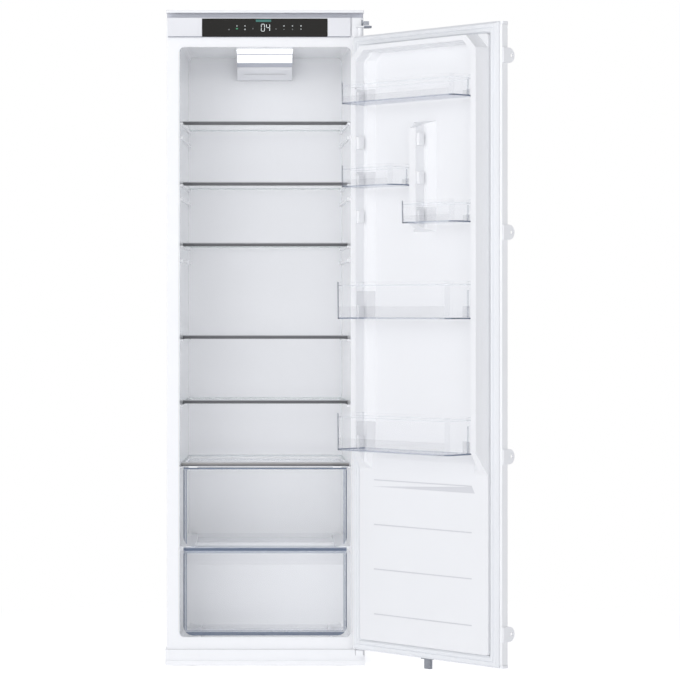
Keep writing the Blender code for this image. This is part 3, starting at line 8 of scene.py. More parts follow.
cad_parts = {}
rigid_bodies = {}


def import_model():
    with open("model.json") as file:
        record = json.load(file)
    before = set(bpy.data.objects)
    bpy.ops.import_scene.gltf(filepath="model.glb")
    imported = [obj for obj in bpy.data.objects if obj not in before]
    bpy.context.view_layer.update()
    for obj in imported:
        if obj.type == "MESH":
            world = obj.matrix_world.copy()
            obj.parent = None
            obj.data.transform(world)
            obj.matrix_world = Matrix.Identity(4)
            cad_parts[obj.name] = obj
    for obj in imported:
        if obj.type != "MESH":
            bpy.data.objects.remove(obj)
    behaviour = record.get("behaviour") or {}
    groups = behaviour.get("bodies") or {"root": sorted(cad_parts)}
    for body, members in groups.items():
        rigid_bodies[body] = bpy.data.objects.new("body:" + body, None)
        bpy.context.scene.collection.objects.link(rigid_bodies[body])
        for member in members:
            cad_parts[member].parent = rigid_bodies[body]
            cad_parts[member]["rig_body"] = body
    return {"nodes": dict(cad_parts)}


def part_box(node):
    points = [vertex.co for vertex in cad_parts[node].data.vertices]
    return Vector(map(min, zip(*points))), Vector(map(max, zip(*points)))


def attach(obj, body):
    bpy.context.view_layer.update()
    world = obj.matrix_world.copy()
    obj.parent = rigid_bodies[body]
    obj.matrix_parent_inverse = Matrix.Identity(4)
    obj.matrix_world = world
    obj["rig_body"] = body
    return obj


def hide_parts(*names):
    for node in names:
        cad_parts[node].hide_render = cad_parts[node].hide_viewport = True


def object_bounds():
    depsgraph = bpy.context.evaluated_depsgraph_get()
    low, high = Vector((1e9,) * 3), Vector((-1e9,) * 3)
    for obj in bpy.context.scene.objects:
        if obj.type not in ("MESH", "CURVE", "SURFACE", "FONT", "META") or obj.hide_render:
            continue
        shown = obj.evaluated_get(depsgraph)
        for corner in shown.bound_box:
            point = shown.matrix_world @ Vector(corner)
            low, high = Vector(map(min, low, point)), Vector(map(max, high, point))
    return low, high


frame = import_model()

cad_low, cad_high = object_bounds()
bpy.ops.object.select_all(action="DESELECT")


# Viewpoint: a long lens about 7 m in front of the cabinet, a little above half its height.
bpy.ops.object.camera_add(location=(0, -6.95, 0.9607), rotation=(math.pi / 2, 0, 0))
camera = bpy.context.object
camera.data.sensor_width = 36
camera.data.lens = 135.92
camera.data.shift_x = 0.1101
camera.data.shift_y = -0.0441
bpy.context.scene.camera = camera
bpy.context.scene.view_settings.view_transform = "Standard"


# Studio: an even white surround, two wide soft lamps in front, and a white floor
# that keeps the shadow under the plinth and runs out into the surround.
def hue(code):
    """Turns a colour written as sRGB hex into the linear values that the shaders take."""
    parts = [int(code[start:start + 2], 16) / 255 for start in (1, 3, 5)]
    return [p / 12.92 if p <= 0.04045 else ((p + 0.055) / 1.055) ** 2.4 for p in parts] + [1]


def add(tree, kind, inputs=None, **settings):
    """Adds one shader node, gives it its settings and fills its inputs with values or links."""
    made = tree.nodes.new(kind)
    for name, value in settings.items():
        setattr(made, name, value)
    for socket, value in (inputs or {}).items():
        if isinstance(value, bpy.types.NodeSocket):
            tree.links.new(value, made.inputs[socket])
        else:
            made.inputs[socket].default_value = value
    return made


WORLD_LEVEL = 0.49
world = bpy.data.worlds.new("studio surround")
world.use_nodes = True
bpy.context.scene.world = world
tree = world.node_tree
tree.nodes.clear()
rays = add(tree, "ShaderNodeLightPath")
seen = add(tree, "ShaderNodeMath", {0: rays.outputs["Is Camera Ray"], 1: rays.outputs["Is Glossy Ray"]},
           operation="MAXIMUM")
seen = add(tree, "ShaderNodeMath", {0: seen.outputs[0], 1: rays.outputs["Is Transmission Ray"]},
           operation="MAXIMUM")
lighting = add(tree, "ShaderNodeBackground", {"Color": hue("#f9faff"), "Strength": WORLD_LEVEL})
backdrop = add(tree, "ShaderNodeBackground", {"Color": hue("#ffffff"), "Strength": 1})
choice = add(tree, "ShaderNodeMixShader",
             {0: seen.outputs[0], 1: lighting.outputs[0], 2: backdrop.outputs[0]})
add(tree, "ShaderNodeOutputWorld", {"Surface": choice.outputs[0]})

# Two soft lamps: a key from the left, which the open door faces, and a weaker one on its right.
LAMP_TALL = 3.7
LAMP_AIM = Vector((0.1, 0, 0.9))
for place, wide, energy in (((-3.5, -4.9, 2.0), 5.5, 130), ((1.2, -6.3, 1.6), 3.5, 56)):
    bpy.ops.object.light_add(type="AREA", location=place)
    lamp = bpy.context.object
    lamp.data.shape = "RECTANGLE"
    lamp.data.size = wide
    lamp.data.size_y = LAMP_TALL
    lamp.data.energy = energy
    lamp.rotation_euler = (LAMP_AIM - lamp.location).to_track_quat("-Z", "Y").to_euler()


def blank(name):
    """A new material with an empty node tree."""
    material = bpy.data.materials.new(name)
    material.use_nodes = True
    material.node_tree.nodes.clear()
    return material, material.node_tree


FLOOR_LEVEL = -0.0031
bpy.ops.mesh.primitive_plane_add(size=60, location=(0, 0, FLOOR_LEVEL))
floor = bpy.context.object
floor.name = "studio_floor"
# Matt paper: it takes a soft shadow near the cabinet and is as bright as the surround further off.
paper, tree = blank("white studio paper")
place = add(tree, "ShaderNodeTexCoord")
centred = add(tree, "ShaderNodeMapping", {"Vector": place.outputs["Object"], "Location": (-0.1, 0.1, 0),
                                          "Scale": (0.5, 0.5, 0.5)})
distance = add(tree, "ShaderNodeVectorMath", {0: centred.outputs[0]}, operation="LENGTH")
fade = add(tree, "ShaderNodeMapRange",
           {"Value": distance.outputs["Value"], "From Min": 0.15, "From Max": 0.9},
           interpolation_type="SMOOTHSTEP")
rays = add(tree, "ShaderNodeLightPath")
seen = add(tree, "ShaderNodeMath", {0: rays.outputs["Is Camera Ray"], 1: rays.outputs["Is Transmission Ray"]},
           operation="MAXIMUM")
share = add(tree, "ShaderNodeMath", {0: fade.outputs[0], 1: seen.outputs[0]}, operation="MULTIPLY")
lift = add(tree, "ShaderNodeMath", {0: seen.outputs[0], 1: 0.35, 2: 0.22}, operation="MULTIPLY_ADD")
matt = add(tree, "ShaderNodeBsdfDiffuse", {"Color": hue("#fcfcfd")})
faint = add(tree, "ShaderNodeEmission", {"Color": hue("#ffffff"), "Strength": lift.outputs[0]})
near = add(tree, "ShaderNodeAddShader", {0: matt.outputs[0], 1: faint.outputs[0]})
glow = add(tree, "ShaderNodeEmission", {"Color": hue("#ffffff"), "Strength": 1})
mixed = add(tree, "ShaderNodeMixShader", {0: share.outputs[0], 1: near.outputs[0], 2: glow.outputs[0]})
add(tree, "ShaderNodeOutputMaterial", {"Surface": mixed.outputs[0]})
floor.data.materials.append(paper)


# Cabinet shell and back: sheet steel, 1 mm and 0.8 mm thick, bent to a box, primed and powder
# coated white. The bends are tight, and the coat has the faint orange peel of sprayed powder.
FLAT_BEND, SHARP_BEND, SMOOTH_BEND = (math.radians(turn) for turn in (0.1, 24, 32))
WELD_REACH = 1e-5
ROOM_NEEDED = 2.2


def only(piece):
    """Makes a piece the active one and the only one selected."""
    bpy.ops.object.select_all(action="DESELECT")
    bpy.context.view_layer.objects.active = piece
    piece.select_set(True)


def roomy(face, edge, width):
    """Whether a face reaches far enough from one of its edges to give up a strip of that width."""
    start = edge.verts[0].co
    line = (edge.verts[1].co - start).normalized()
    reach = max((v.co - start - line * line.dot(v.co - start)).length for v in face.verts)
    return reach > ROOM_NEEDED * width


def softened(node, name, width, steps=2):
    """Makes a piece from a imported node: loose triangles become whole faces, and edges are rounded."""
    source = frame["nodes"][node]
    piece = bpy.data.objects.new(name, source.data.copy())
    bpy.context.collection.objects.link(piece)
    only(piece)
    piece.data.materials.clear()
    bpy.ops.mesh.customdata_custom_splitnormals_clear()
    bpy.ops.object.mode_set(mode="EDIT")
    bpy.ops.mesh.select_all(action="SELECT")
    bpy.ops.mesh.remove_doubles(threshold=WELD_REACH)
    bpy.ops.mesh.dissolve_limited(angle_limit=FLAT_BEND)
    round_off(piece, width, steps)
    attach(piece, source["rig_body"])
    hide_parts(node)
    return piece


def round_off(piece, width, steps=2, wanted=None):
    """Rounds the sharp edges of the piece in edit mode, or those that are wanted, and smooths it."""
    bpy.ops.mesh.select_all(action="DESELECT")
    mesh = bmesh.from_edit_mesh(piece.data)
    for edge in mesh.edges:
        if len(edge.link_faces) == 2 and edge.calc_face_angle() > SHARP_BEND:
            if all(roomy(face, edge, width) for face in edge.link_faces):
                edge.select = wanted is None or wanted(edge)
    mesh.select_flush_mode()
    bmesh.update_edit_mesh(piece.data)
    if piece.data.total_edge_sel:
        bpy.ops.mesh.bevel(offset=width, segments=steps, affect="EDGES", clamp_overlap=True)
    bpy.ops.object.mode_set(mode="OBJECT")
    even_out(piece)


def even_out(piece):
    """Smooths the shading over small faces and keeps the large faces flat."""
    only(piece)
    bpy.ops.object.shade_smooth_by_angle(angle=SMOOTH_BEND)
    modifier = piece.modifiers.new("flat faces", "WEIGHTED_NORMAL")
    modifier.keep_sharp = True
    bpy.ops.object.modifier_apply(modifier=modifier.name)


def dress(piece, material):
    """Gives the piece its material."""
    piece.data.materials.clear()
    piece.data.materials.append(material)


def tint(piece, face, material):
    """Gives one face another of the materials that its piece has."""
    face.material_index = piece.data.materials.find(material.name)


def coated(name, colour, roughness, grain, depth, metallic=0, mottle="#000000", spread=0.03, cloud=0.30,
           shine=0.5):
    """A painted or moulded surface: a fine grain in the height, and a slow drift in tone and gloss."""
    material, tree = blank(name)
    place = add(tree, "ShaderNodeTexCoord").outputs["Object"]
    fine = add(tree, "ShaderNodeTexNoise", {"Vector": place, "Scale": 1 / grain, "Detail": 3})
    slow = add(tree, "ShaderNodeTexNoise", {"Vector": place, "Scale": 1 / cloud, "Detail": 2})
    drift = add(tree, "ShaderNodeMath", {0: slow.outputs[0], 1: spread}, operation="MULTIPLY")
    tone = add(tree, "ShaderNodeMix", {"Factor": drift.outputs[0], "A": hue(colour), "B": hue(mottle)},
               data_type="RGBA")
    gloss = add(tree, "ShaderNodeMapRange", {"Value": slow.outputs[0], "To Min": roughness * 0.9,
                                             "To Max": roughness * 1.1})
    relief = add(tree, "ShaderNodeBump", {"Height": fine.outputs[0], "Strength": 0.6, "Distance": depth})
    shader = add(tree, "ShaderNodeBsdfPrincipled",
                 {"Base Color": tone.outputs["Result"], "Metallic": metallic, "Roughness": gloss.outputs[0],
                  "Specular IOR Level": shine, "Normal": relief.outputs[0]})
    add(tree, "ShaderNodeOutputMaterial", {"Surface": shader.outputs[0]})
    return material


# Powder coat: satin white with 2.5 mm orange peel, 30 micrometres deep.
powder_coat = coated("white powder coat on steel", "#f6f7f9", roughness=0.38, grain=0.0025, depth=0.00003)
shell = softened("outer_shell", "cabinet_shell", 0.0004)
dress(shell, powder_coat)
# The set-back strip under the top plate is painted a flat grey: painted shade of the recess.
recess_shade = coated("grey painted shade of the recess", "#cfd1d9", roughness=0.60, grain=0.0025, depth=0.00003)
shell.data.materials.append(recess_shade)
STRIP_FOOT, STRIP_DROP = 1.7500, 0.006
STRIP_FRONT, STRIP_BACK = 0.0002, 0.0215
for face in shell.data.polygons:
    if (STRIP_FOOT < face.center.z < cad_high.z - STRIP_DROP
            and STRIP_FRONT < face.center.y < STRIP_BACK):
        tint(shell, face, recess_shade)
back = softened("back_panel", "cabinet_back_sheet", 0.0003)
dress(back, powder_coat)


# Insulation: polyurethane foam that rises between shell and liner and sets there.
# It is honey yellow, with closed cells about a millimetre across.
foam, tree = blank("rigid polyurethane foam")
place = add(tree, "ShaderNodeTexCoord").outputs["Object"]
cells = add(tree, "ShaderNodeTexVoronoi", {"Vector": place, "Scale": 1 / 0.0012})
cloud = add(tree, "ShaderNodeTexNoise", {"Vector": place, "Scale": 1 / 0.03, "Detail": 3})
tone = add(tree, "ShaderNodeMix", {"Factor": cloud.outputs[0], "A": hue("#e0c98c"), "B": hue("#cdb170")},
           data_type="RGBA")
relief = add(tree, "ShaderNodeBump",
             {"Height": cells.outputs["Distance"], "Strength": 0.8, "Distance": 0.0004})
shader = add(tree, "ShaderNodeBsdfPrincipled", {"Base Color": tone.outputs["Result"], "Roughness": 0.85,
                                                "Normal": relief.outputs[0]})
add(tree, "ShaderNodeOutputMaterial", {"Surface": shader.outputs[0]})
for name in ("insulation_foam", "door_foam"):
    dress(frame["nodes"][name], foam)


# Top plate: a moulded white cover clipped over the shell's front edge, above a dark recess
# that lets warm air out over the fascia.
# Moulded ABS: satin white, with a 0.8 mm spark-eroded grain.
white_abs = coated("white moulded ABS", "#f5f6f8", roughness=0.42, grain=0.0008, depth=0.00002)
top_plate = softened("top_plate", "cabinet_top_cover", 0.0012, steps=3)
dress(top_plate, white_abs)


# Liner: one sheet of white polystyrene drawn into a mould by vacuum, so all its corners are soft.
# The surface is glossy with a slow waviness, and the ledges for the shelves are drawn with it.
liner_sheet = coated("white vacuum-formed polystyrene", "#f9fafc", roughness=0.14, grain=0.09, depth=0.00006)
liner = softened("inner_liner", "food_room_liner", 0.0016, steps=3)
dress(liner, liner_sheet)


# Lamp: a moulded ABS housing fixed to the ceiling of the food room, with a milky diffuser in
# front of it. The light board lies over the diffuser.
# The ABS is pale with a soft sheen, and a greyer copy of it is painted shade.
lamp_abs = coated("pale grey moulded ABS", "#f6f7fa", roughness=0.40, grain=0.0008, depth=0.00002)
lamp_painted_shade = coated("grey moulded ABS", "#c9ccd6", roughness=0.45, grain=0.0008, depth=0.00002)


def split(piece, *cuts):
    """Cuts lines round a piece at the given places, each a point and the direction across the cut."""
    only(piece)
    bpy.ops.object.mode_set(mode="EDIT")
    for point, across in cuts:
        bpy.ops.mesh.select_all(action="SELECT")
        bpy.ops.mesh.bisect(plane_co=point, plane_no=across)
    bpy.ops.object.mode_set(mode="OBJECT")


# The upper slope of the housing gets the grey copy as painted shade, and a white band, a painted highlight,
# parts it from the lower one.
LAMP_HIGHLIGHT = (1.6492, 1.6538)
lamp_housing = softened("lamp_housing", "lamp_cover", 0.0006, steps=2)
split(lamp_housing, *(((0, 0, level), (0, 0, 1)) for level in LAMP_HIGHLIGHT))
dress(lamp_housing, lamp_abs)
lamp_housing.data.materials.append(lamp_painted_shade)
lamp_housing.data.materials.append(white_abs)
for face in lamp_housing.data.polygons:
    if face.normal.y < -0.3:
        if face.center.z > LAMP_HIGHLIGHT[1]:
            tint(lamp_housing, face, lamp_painted_shade)
        elif face.center.z > LAMP_HIGHLIGHT[0]:
            tint(lamp_housing, face, white_abs)

# Opal acrylic, moulded with fine ribs and lit from above: an even milky glow.
opal, tree = blank("lit opal acrylic")
place = add(tree, "ShaderNodeTexCoord").outputs["Object"]
ribs = add(tree, "ShaderNodeTexWave", {"Vector": place, "Scale": 1 / 0.012}, wave_type="BANDS",
           bands_direction="X")
relief = add(tree, "ShaderNodeBump", {"Height": ribs.outputs[0], "Strength": 0.4, "Distance": 0.0003})
shader = add(tree, "ShaderNodeBsdfPrincipled", {"Base Color": hue("#f6f7fa"), "Roughness": 0.35,
                                                "Normal": relief.outputs[0],
                                                "Emission Color": hue("#fdfdff"), "Emission Strength": 0.65})
add(tree, "ShaderNodeOutputMaterial", {"Surface": shader.outputs[0]})
# A thin grey line of painted shade runs across the lens where its flat part meets the slope.
CREASE_SHADE = (0.3008, 0.3080)
diffuser = softened("lamp_diffuser", "lamp_lens", 0.0006, steps=2)
split(diffuser, *(((0, place, 0), (0, 1, 0)) for place in CREASE_SHADE))
dress(diffuser, opal)
diffuser.data.materials.append(lamp_painted_shade)
for face in diffuser.data.polygons:
    if face.normal.z < -0.5 and CREASE_SHADE[0] < face.center.y < CREASE_SHADE[1]:
        tint(diffuser, face, lamp_painted_shade)


# Fascia: a moulded ABS cover clipped across the cabinet's front above the door, with a black
# display glass set into it and a short cover beside its end at the hinge side.
# Its plastic is a shade darker than the top cover, with the same fine grain.
fascia_abs = coated("off-white moulded ABS", "#e9eaee", roughness=0.42, grain=0.0008, depth=0.00002)
fascia = softened("control_fascia", "fascia_cover", 0.0010, steps=3)
FASCIA_SHADE = 0.0016
shade_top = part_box("control_fascia")[0].z + FASCIA_SHADE
split(fascia, ((0, 0, shade_top), (0, 0, 1)))
dress(fascia, fascia_abs)
# Its lower edge, over the joint to the flange, is painted flat dark grey: a dark joint, and painted shade.
dark_painted_shade = coated("dark grey painted shade", "#8d919c", roughness=0.60, grain=0.0025, depth=0.00003)
fascia.data.materials.append(dark_painted_shade)
for face in fascia.data.polygons:
    if face.center.z < shade_top:
        tint(fascia, face, dark_painted_shade)
end_cover = softened("fascia_end_cover", "fascia_end_cap", 0.0010, steps=3)
dress(end_cover, white_abs)

# Glass with black ink behind it: deep and smooth, with hardly any shine.
smoked = coated("back-printed black glass", "#1c1b19", roughness=0.22, grain=0.05, depth=0.000005,
                mottle="#242321", spread=0.5, shine=0.12)
display = softened("display_panel", "display_glass", 0.0003)
dress(display, smoked)

# The display's signs are printed on the glass: a sensor strip, two lit digits and rows of signs.
# The lit inks glow faintly, and the grey one hardly shows.
INK = 0.00012
INK_THICK = INK * 0.9
glass_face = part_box("display_panel")[0].y


def lit(name, colour, strength):
    """Printed ink with a light behind it, a little uneven like a screen print."""
    material, tree = blank(name)
    place = add(tree, "ShaderNodeTexCoord").outputs["Object"]
    speck = add(tree, "ShaderNodeTexNoise", {"Vector": place, "Scale": 1 / 0.0015})
    tone = add(tree, "ShaderNodeMapRange", {"Value": speck.outputs[0], "To Min": strength * 0.85,
                                            "To Max": strength * 1.15})
    shader = add(tree, "ShaderNodeBsdfPrincipled",
                 {"Base Color": hue(colour), "Roughness": 0.35, "Emission Color": hue(colour),
                  "Emission Strength": tone.outputs[0]})
    add(tree, "ShaderNodeOutputMaterial", {"Surface": shader.outputs[0]})
    return material


def printed(name, x, z, wide, tall, material, corner=0.25, turn=0.0):
    """A flat sign with cut corners, standing an ink layer proud of the glass."""
    bpy.ops.object.select_all(action="DESELECT")
    bpy.ops.mesh.primitive_plane_add(size=1, location=(x, glass_face - INK, z),
                                     rotation=(math.pi / 2, turn, 0))
    sign = bpy.context.object
    sign.name = name
    sign.scale = (wide, tall, 1)
    bpy.ops.object.transform_apply(location=True, rotation=True, scale=True)
    bpy.ops.object.mode_set(mode="EDIT")
    bpy.ops.mesh.select_all(action="SELECT")
    bpy.ops.mesh.bevel(offset=min(wide, tall) * corner, segments=1, affect="VERTICES")
    bpy.ops.mesh.select_all(action="SELECT")
    bpy.ops.mesh.extrude_region_move(TRANSFORM_OT_translate={"value": (0, INK_THICK, 0)})
    bpy.ops.mesh.select_all(action="SELECT")
    bpy.ops.mesh.normals_make_consistent(inside=False)
    bpy.ops.object.mode_set(mode="OBJECT")
    sign.data.materials.append(material)
    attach(sign, "cabinet")
    return sign


teal = lit("teal lit ink", "#1d5f58", 0.22)
white_ink = lit("white lit ink", "#d3d9d9", 0.42)
pale_ink = lit("pale lit ink", "#9a9e9e", 0.16)
dim_ink = lit("grey printed ink", "#565859", 0.04)
green_ink = lit("green lit ink", "#217a52", 0.30)
printed("sensor_strip", -0.0045, 1.7428, 0.0415, 0.0062, teal, 0.10)
# Two digits of the usual seven strokes: the strokes that are lit in 0 and in 4.
STROKES = {"top": (0, 1, 0), "middle": (0, 0, 0), "bottom": (0, -1, 0), "upper_left": (-1, 0.5, 1),
           "upper_right": (1, 0.5, 1), "lower_left": (-1, -0.5, 1), "lower_right": (1, -0.5, 1)}
DIGIT_WIDE, DIGIT_TALL, STROKE = 0.0088, 0.0190, 0.0014
DIGIT_LEVEL = 1.7241
GAP_TALL, GAP_WIDE = 0.0012, 0.0016
for digit, (x, lit_strokes) in {"zero": (-0.0060, "top bottom upper_left upper_right lower_left lower_right"),
                                "four": (0.0080, "middle upper_left upper_right lower_right")}.items():
    for stroke in lit_strokes.split():
        across, up, upright = STROKES[stroke]
        size = (STROKE, DIGIT_TALL / 2 - GAP_TALL) if upright else (DIGIT_WIDE - GAP_WIDE, STROKE)
        printed(f"digit_{digit}_{stroke}", x + across * DIGIT_WIDE / 2,
                DIGIT_LEVEL + up * DIGIT_TALL / 2, *size, white_ink, 0.45)
for number, (x, z, wide, tall, ink, corner) in enumerate((
        (-0.0762, 1.7288, 0.0034, 0.0034, pale_ink, 0.30), (-0.0545, 1.7288, 0.0040, 0.0036, pale_ink, 0.30),
        (0.0510, 1.7288, 0.0044, 0.0034, pale_ink, 0.30), (0.0740, 1.7288, 0.0044, 0.0040, pale_ink, 0.45),
        (0.0970, 1.7288, 0.0040, 0.0040, pale_ink, 0.20), (-0.0762, 1.7215, 0.0066, 0.0040, green_ink, 0.45),
        (-0.0545, 1.7195, 0.0046, 0.0036, pale_ink, 0.40), (0.0510, 1.7195, 0.0036, 0.0034, dim_ink, 0.45),
        (0.0740, 1.7195, 0.0036, 0.0040, dim_ink, 0.45), (0.0970, 1.7200, 0.0036, 0.0030, pale_ink, 0.45),
        (-0.0979, 1.7190, 0.0050, 0.0034, dim_ink, 0.20), (-0.0329, 1.7215, 0.0026, 0.0040, dim_ink, 0.30),
        (0.0294, 1.7205, 0.0040, 0.0026, dim_ink, 0.30))):
    printed(f"printed_sign_{number + 1}", x, z, wide, tall, ink, corner)


# Hinges: pressed steel brackets screwed to the shell above and below the door, each with a
# turned pin that the door turns on. They are coated white like the shell.
# Zinc plating shows where the coat ends: a dull cool grey with small clouds.
zinc = coated("zinc-plated steel", "#9b9ea5", roughness=0.50, grain=0.0012, depth=0.00002, metallic=1,
              mottle="#83868d", spread=0.5, cloud=0.012)
for node, name, width in (("lower_hinge_bracket", "hinge_plate_low", 0.0010),
                          ("lower_hinge_pin", "hinge_pin_low", 0.0006)):
    dress(softened(node, name, width), powder_coat)
# The top of the upper hinge's boss is left bare, and its outer end is painted dark grey as shade.
BOSS_FOOT = 1.7285
SHADE_SIDE, SHADE_TOP = 0.2662, 1.7262
for node, name, width in (("upper_hinge_pin", "hinge_pin_top", 0.0006),
                          ("upper_hinge_bracket", "hinge_plate_top", 0.0006)):
    hinge = softened(node, name, width)
    split(hinge, ((SHADE_SIDE, 0, 0), (1, 0, 0)), ((0, 0, BOSS_FOOT), (0, 0, 1)))
    dress(hinge, powder_coat)
    hinge.data.materials.append(zinc)
    hinge.data.materials.append(dark_painted_shade)
    for face in hinge.data.polygons:
        if node == "upper_hinge_bracket" and face.center.z > BOSS_FOOT:
            tint(hinge, face, zinc)
        elif (node == "upper_hinge_bracket" and face.center.x > SHADE_SIDE
              and face.center.z < SHADE_TOP):
            tint(hinge, face, dark_painted_shade)


# Base: a moulded ABS plinth under the door, in front of a folded tray of galvanised steel that
# carries the compressor. Two screw feet at the front level the cabinet.
plinth = softened("base_plinth", "plinth_cover", 0.0012, steps=3)
dress(plinth, white_abs)
for side in ("left", "right"):
    dress(softened(f"foot_front_{side}", f"screw_foot_{side}", 0.0008, steps=2), white_abs)

# Hot-dip galvanising: crystals about 10 mm across, each a slightly different grey.
galvanised, tree = blank("hot-dip galvanised steel")
place = add(tree, "ShaderNodeTexCoord").outputs["Object"]
spangle = add(tree, "ShaderNodeTexVoronoi", {"Vector": place, "Scale": 1 / 0.010})
tone = add(tree, "ShaderNodeMix",
           {"Factor": spangle.outputs["Color"], "A": hue("#a9adb1"), "B": hue("#c6c9cc")},
           data_type="RGBA")
gloss = add(tree, "ShaderNodeMapRange",
            {"Value": spangle.outputs["Distance"], "To Min": 0.35, "To Max": 0.5})
shader = add(tree, "ShaderNodeBsdfPrincipled", {"Base Color": tone.outputs["Result"], "Metallic": 1,
                                                "Roughness": gloss.outputs[0]})
add(tree, "ShaderNodeOutputMaterial", {"Surface": shader.outputs[0]})
dress(softened("base_tray", "galvanised_tray", 0.0004), galvanised)


# Cooling circuit and electrics: compressor with its terminal cover and drip tray, filter dryer,
# copper pipes, the wire condenser on the back and the evaporator behind the liner, with the
# mains socket, the two circuit boards and the temperature sensor.
# Baked enamel is deep black with soft highlights; moulded polypropylene beside it is duller.
black_enamel = coated("black baked enamel", "#17181a", roughness=0.35, grain=0.0020, depth=0.00003,
                      spread=0.2)
dress(softened("compressor", "compressor_shell", 0.002, steps=3), black_enamel)
dress(softened("condenser", "wire_condenser", 0.0002), black_enamel)
black_pp = coated("black moulded polypropylene", "#1b1c1e", roughness=0.50, grain=0.0008, depth=0.00003,
                  spread=0.2)
for node, name in (("terminal_cover", "compressor_terminal_box"), ("drip_tray", "defrost_water_tray"),
                   ("mains_inlet", "mains_socket")):
    dress(softened(node, name, 0.0010), black_pp)
# Drawn copper: warm, and browner in patches where it was heated for soldering.
copper = coated("drawn copper tube", "#b87350", roughness=0.32, grain=0.004, depth=0.00002, metallic=1,
                mottle="#6a3a24", spread=0.4, cloud=0.02)
for node, name in (("filter_dryer", "filter_dryer_can"), ("suction_pipe", "suction_tube"),
                   ("liquid_pipe", "liquid_tube")):
    dress(softened(node, name, 0.0002), copper)
# Mill-finish aluminium: a cool, softly clouded grey.
aluminium = coated("mill-finish aluminium", "#c4c6ca", roughness=0.38, grain=0.003, depth=0.00003,
                   metallic=1, mottle="#9fa2a7", spread=0.4, cloud=0.03)
dress(softened("evaporator", "roll_bond_evaporator", 0.0003), aluminium)
# Coated circuit board: green with fine darker specks.
laminate = coated("green circuit board", "#1d5a34", roughness=0.45, grain=0.0015, depth=0.00004,
                  mottle="#0c2d19", spread=0.6, cloud=0.004)
for name in ("led_board", "control_board"):
    dress(frame["nodes"][name], laminate)
dress(softened("temperature_sensor", "sensor_cap", 0.0010), white_abs)


# Door: a folded white steel skin between two moulded caps, foam inside, liner on the room's side.
# A soft magnetic gasket runs round the liner, and four slider plates for the furniture door are
# fixed to the free edge.
# The skin has the shell's satin coat. The liner's sheet is greyer and less glossy than the room's.
door_coat = coated("white powder coat on door steel", "#f8f9fa", roughness=0.36, grain=0.0025, depth=0.00003)
dress(softened("door_panel", "door_skin", 0.0004), door_coat)
for end in ("top", "bottom"):
    dress(softened(f"door_cap_{end}", f"door_end_cap_{end}", 0.0012, steps=3), white_abs)
door_sheet = coated("white vacuum-formed polystyrene of the door", "#f1f2f4", roughness=0.30, grain=0.09,
                    depth=0.00006)
door_liner = softened("door_liner", "door_inner_shell", 0.0016, steps=3)
dress(door_liner, door_sheet)
# The door stands open, so its faces are told apart in its own directions: away from the door,
# and across it from the hinge. The floors of its four grooves are less glossy, and painted darker as shade.
HINGE_EDGE = (0.23526, -0.0269, 0)
DOOR_TURN = 223
door_place = Matrix.Translation(HINGE_EDGE) @ Matrix.Rotation(math.radians(DOOR_TURN), 4, "Z")
door_axes = door_place.inverted().to_3x3()
groove_shade = coated("white vacuum-formed polystyrene, painted groove shade", "#d9dade", roughness=0.50, grain=0.09,
                    depth=0.00002)
door_liner.data.materials.append(groove_shade)
GROOVE_FLOOR = (0.0090, 0.01095)
GROOVE_LEVELS = (0.10, 0.55)
GROOVE_ENDS = (0.09, 0.446)
for face in door_liner.data.polygons:
    spot = door_place.inverted() @ face.center
    if all(least < value < most for value, (least, most)
           in zip(spot, (GROOVE_FLOOR, GROOVE_ENDS, GROOVE_LEVELS))):
        tint(door_liner, face, groove_shade)
# Soft PVC: matt white with a fine grain.
rubber = coated("white magnetic gasket PVC", "#eceef1", roughness=0.55, grain=0.0006, depth=0.00002)
dress(softened("door_gasket", "magnetic_seal", 0.0006), rubber)
for number in range(1, 5):
    dress(softened(f"slider_{number}", f"slide_rail_plate_{number}", 0.0008), white_abs)
dress(softened("door_bottom_tab", "door_stop_tab", 0.0005), zinc)


# Clear bins: crystal-clear styrene, injection moulded with a thin even wall.
# Light goes through many clear walls one behind the other here.
bpy.context.scene.cycles.transparent_max_bounces = 32
LAMPS_PASS = 0.9


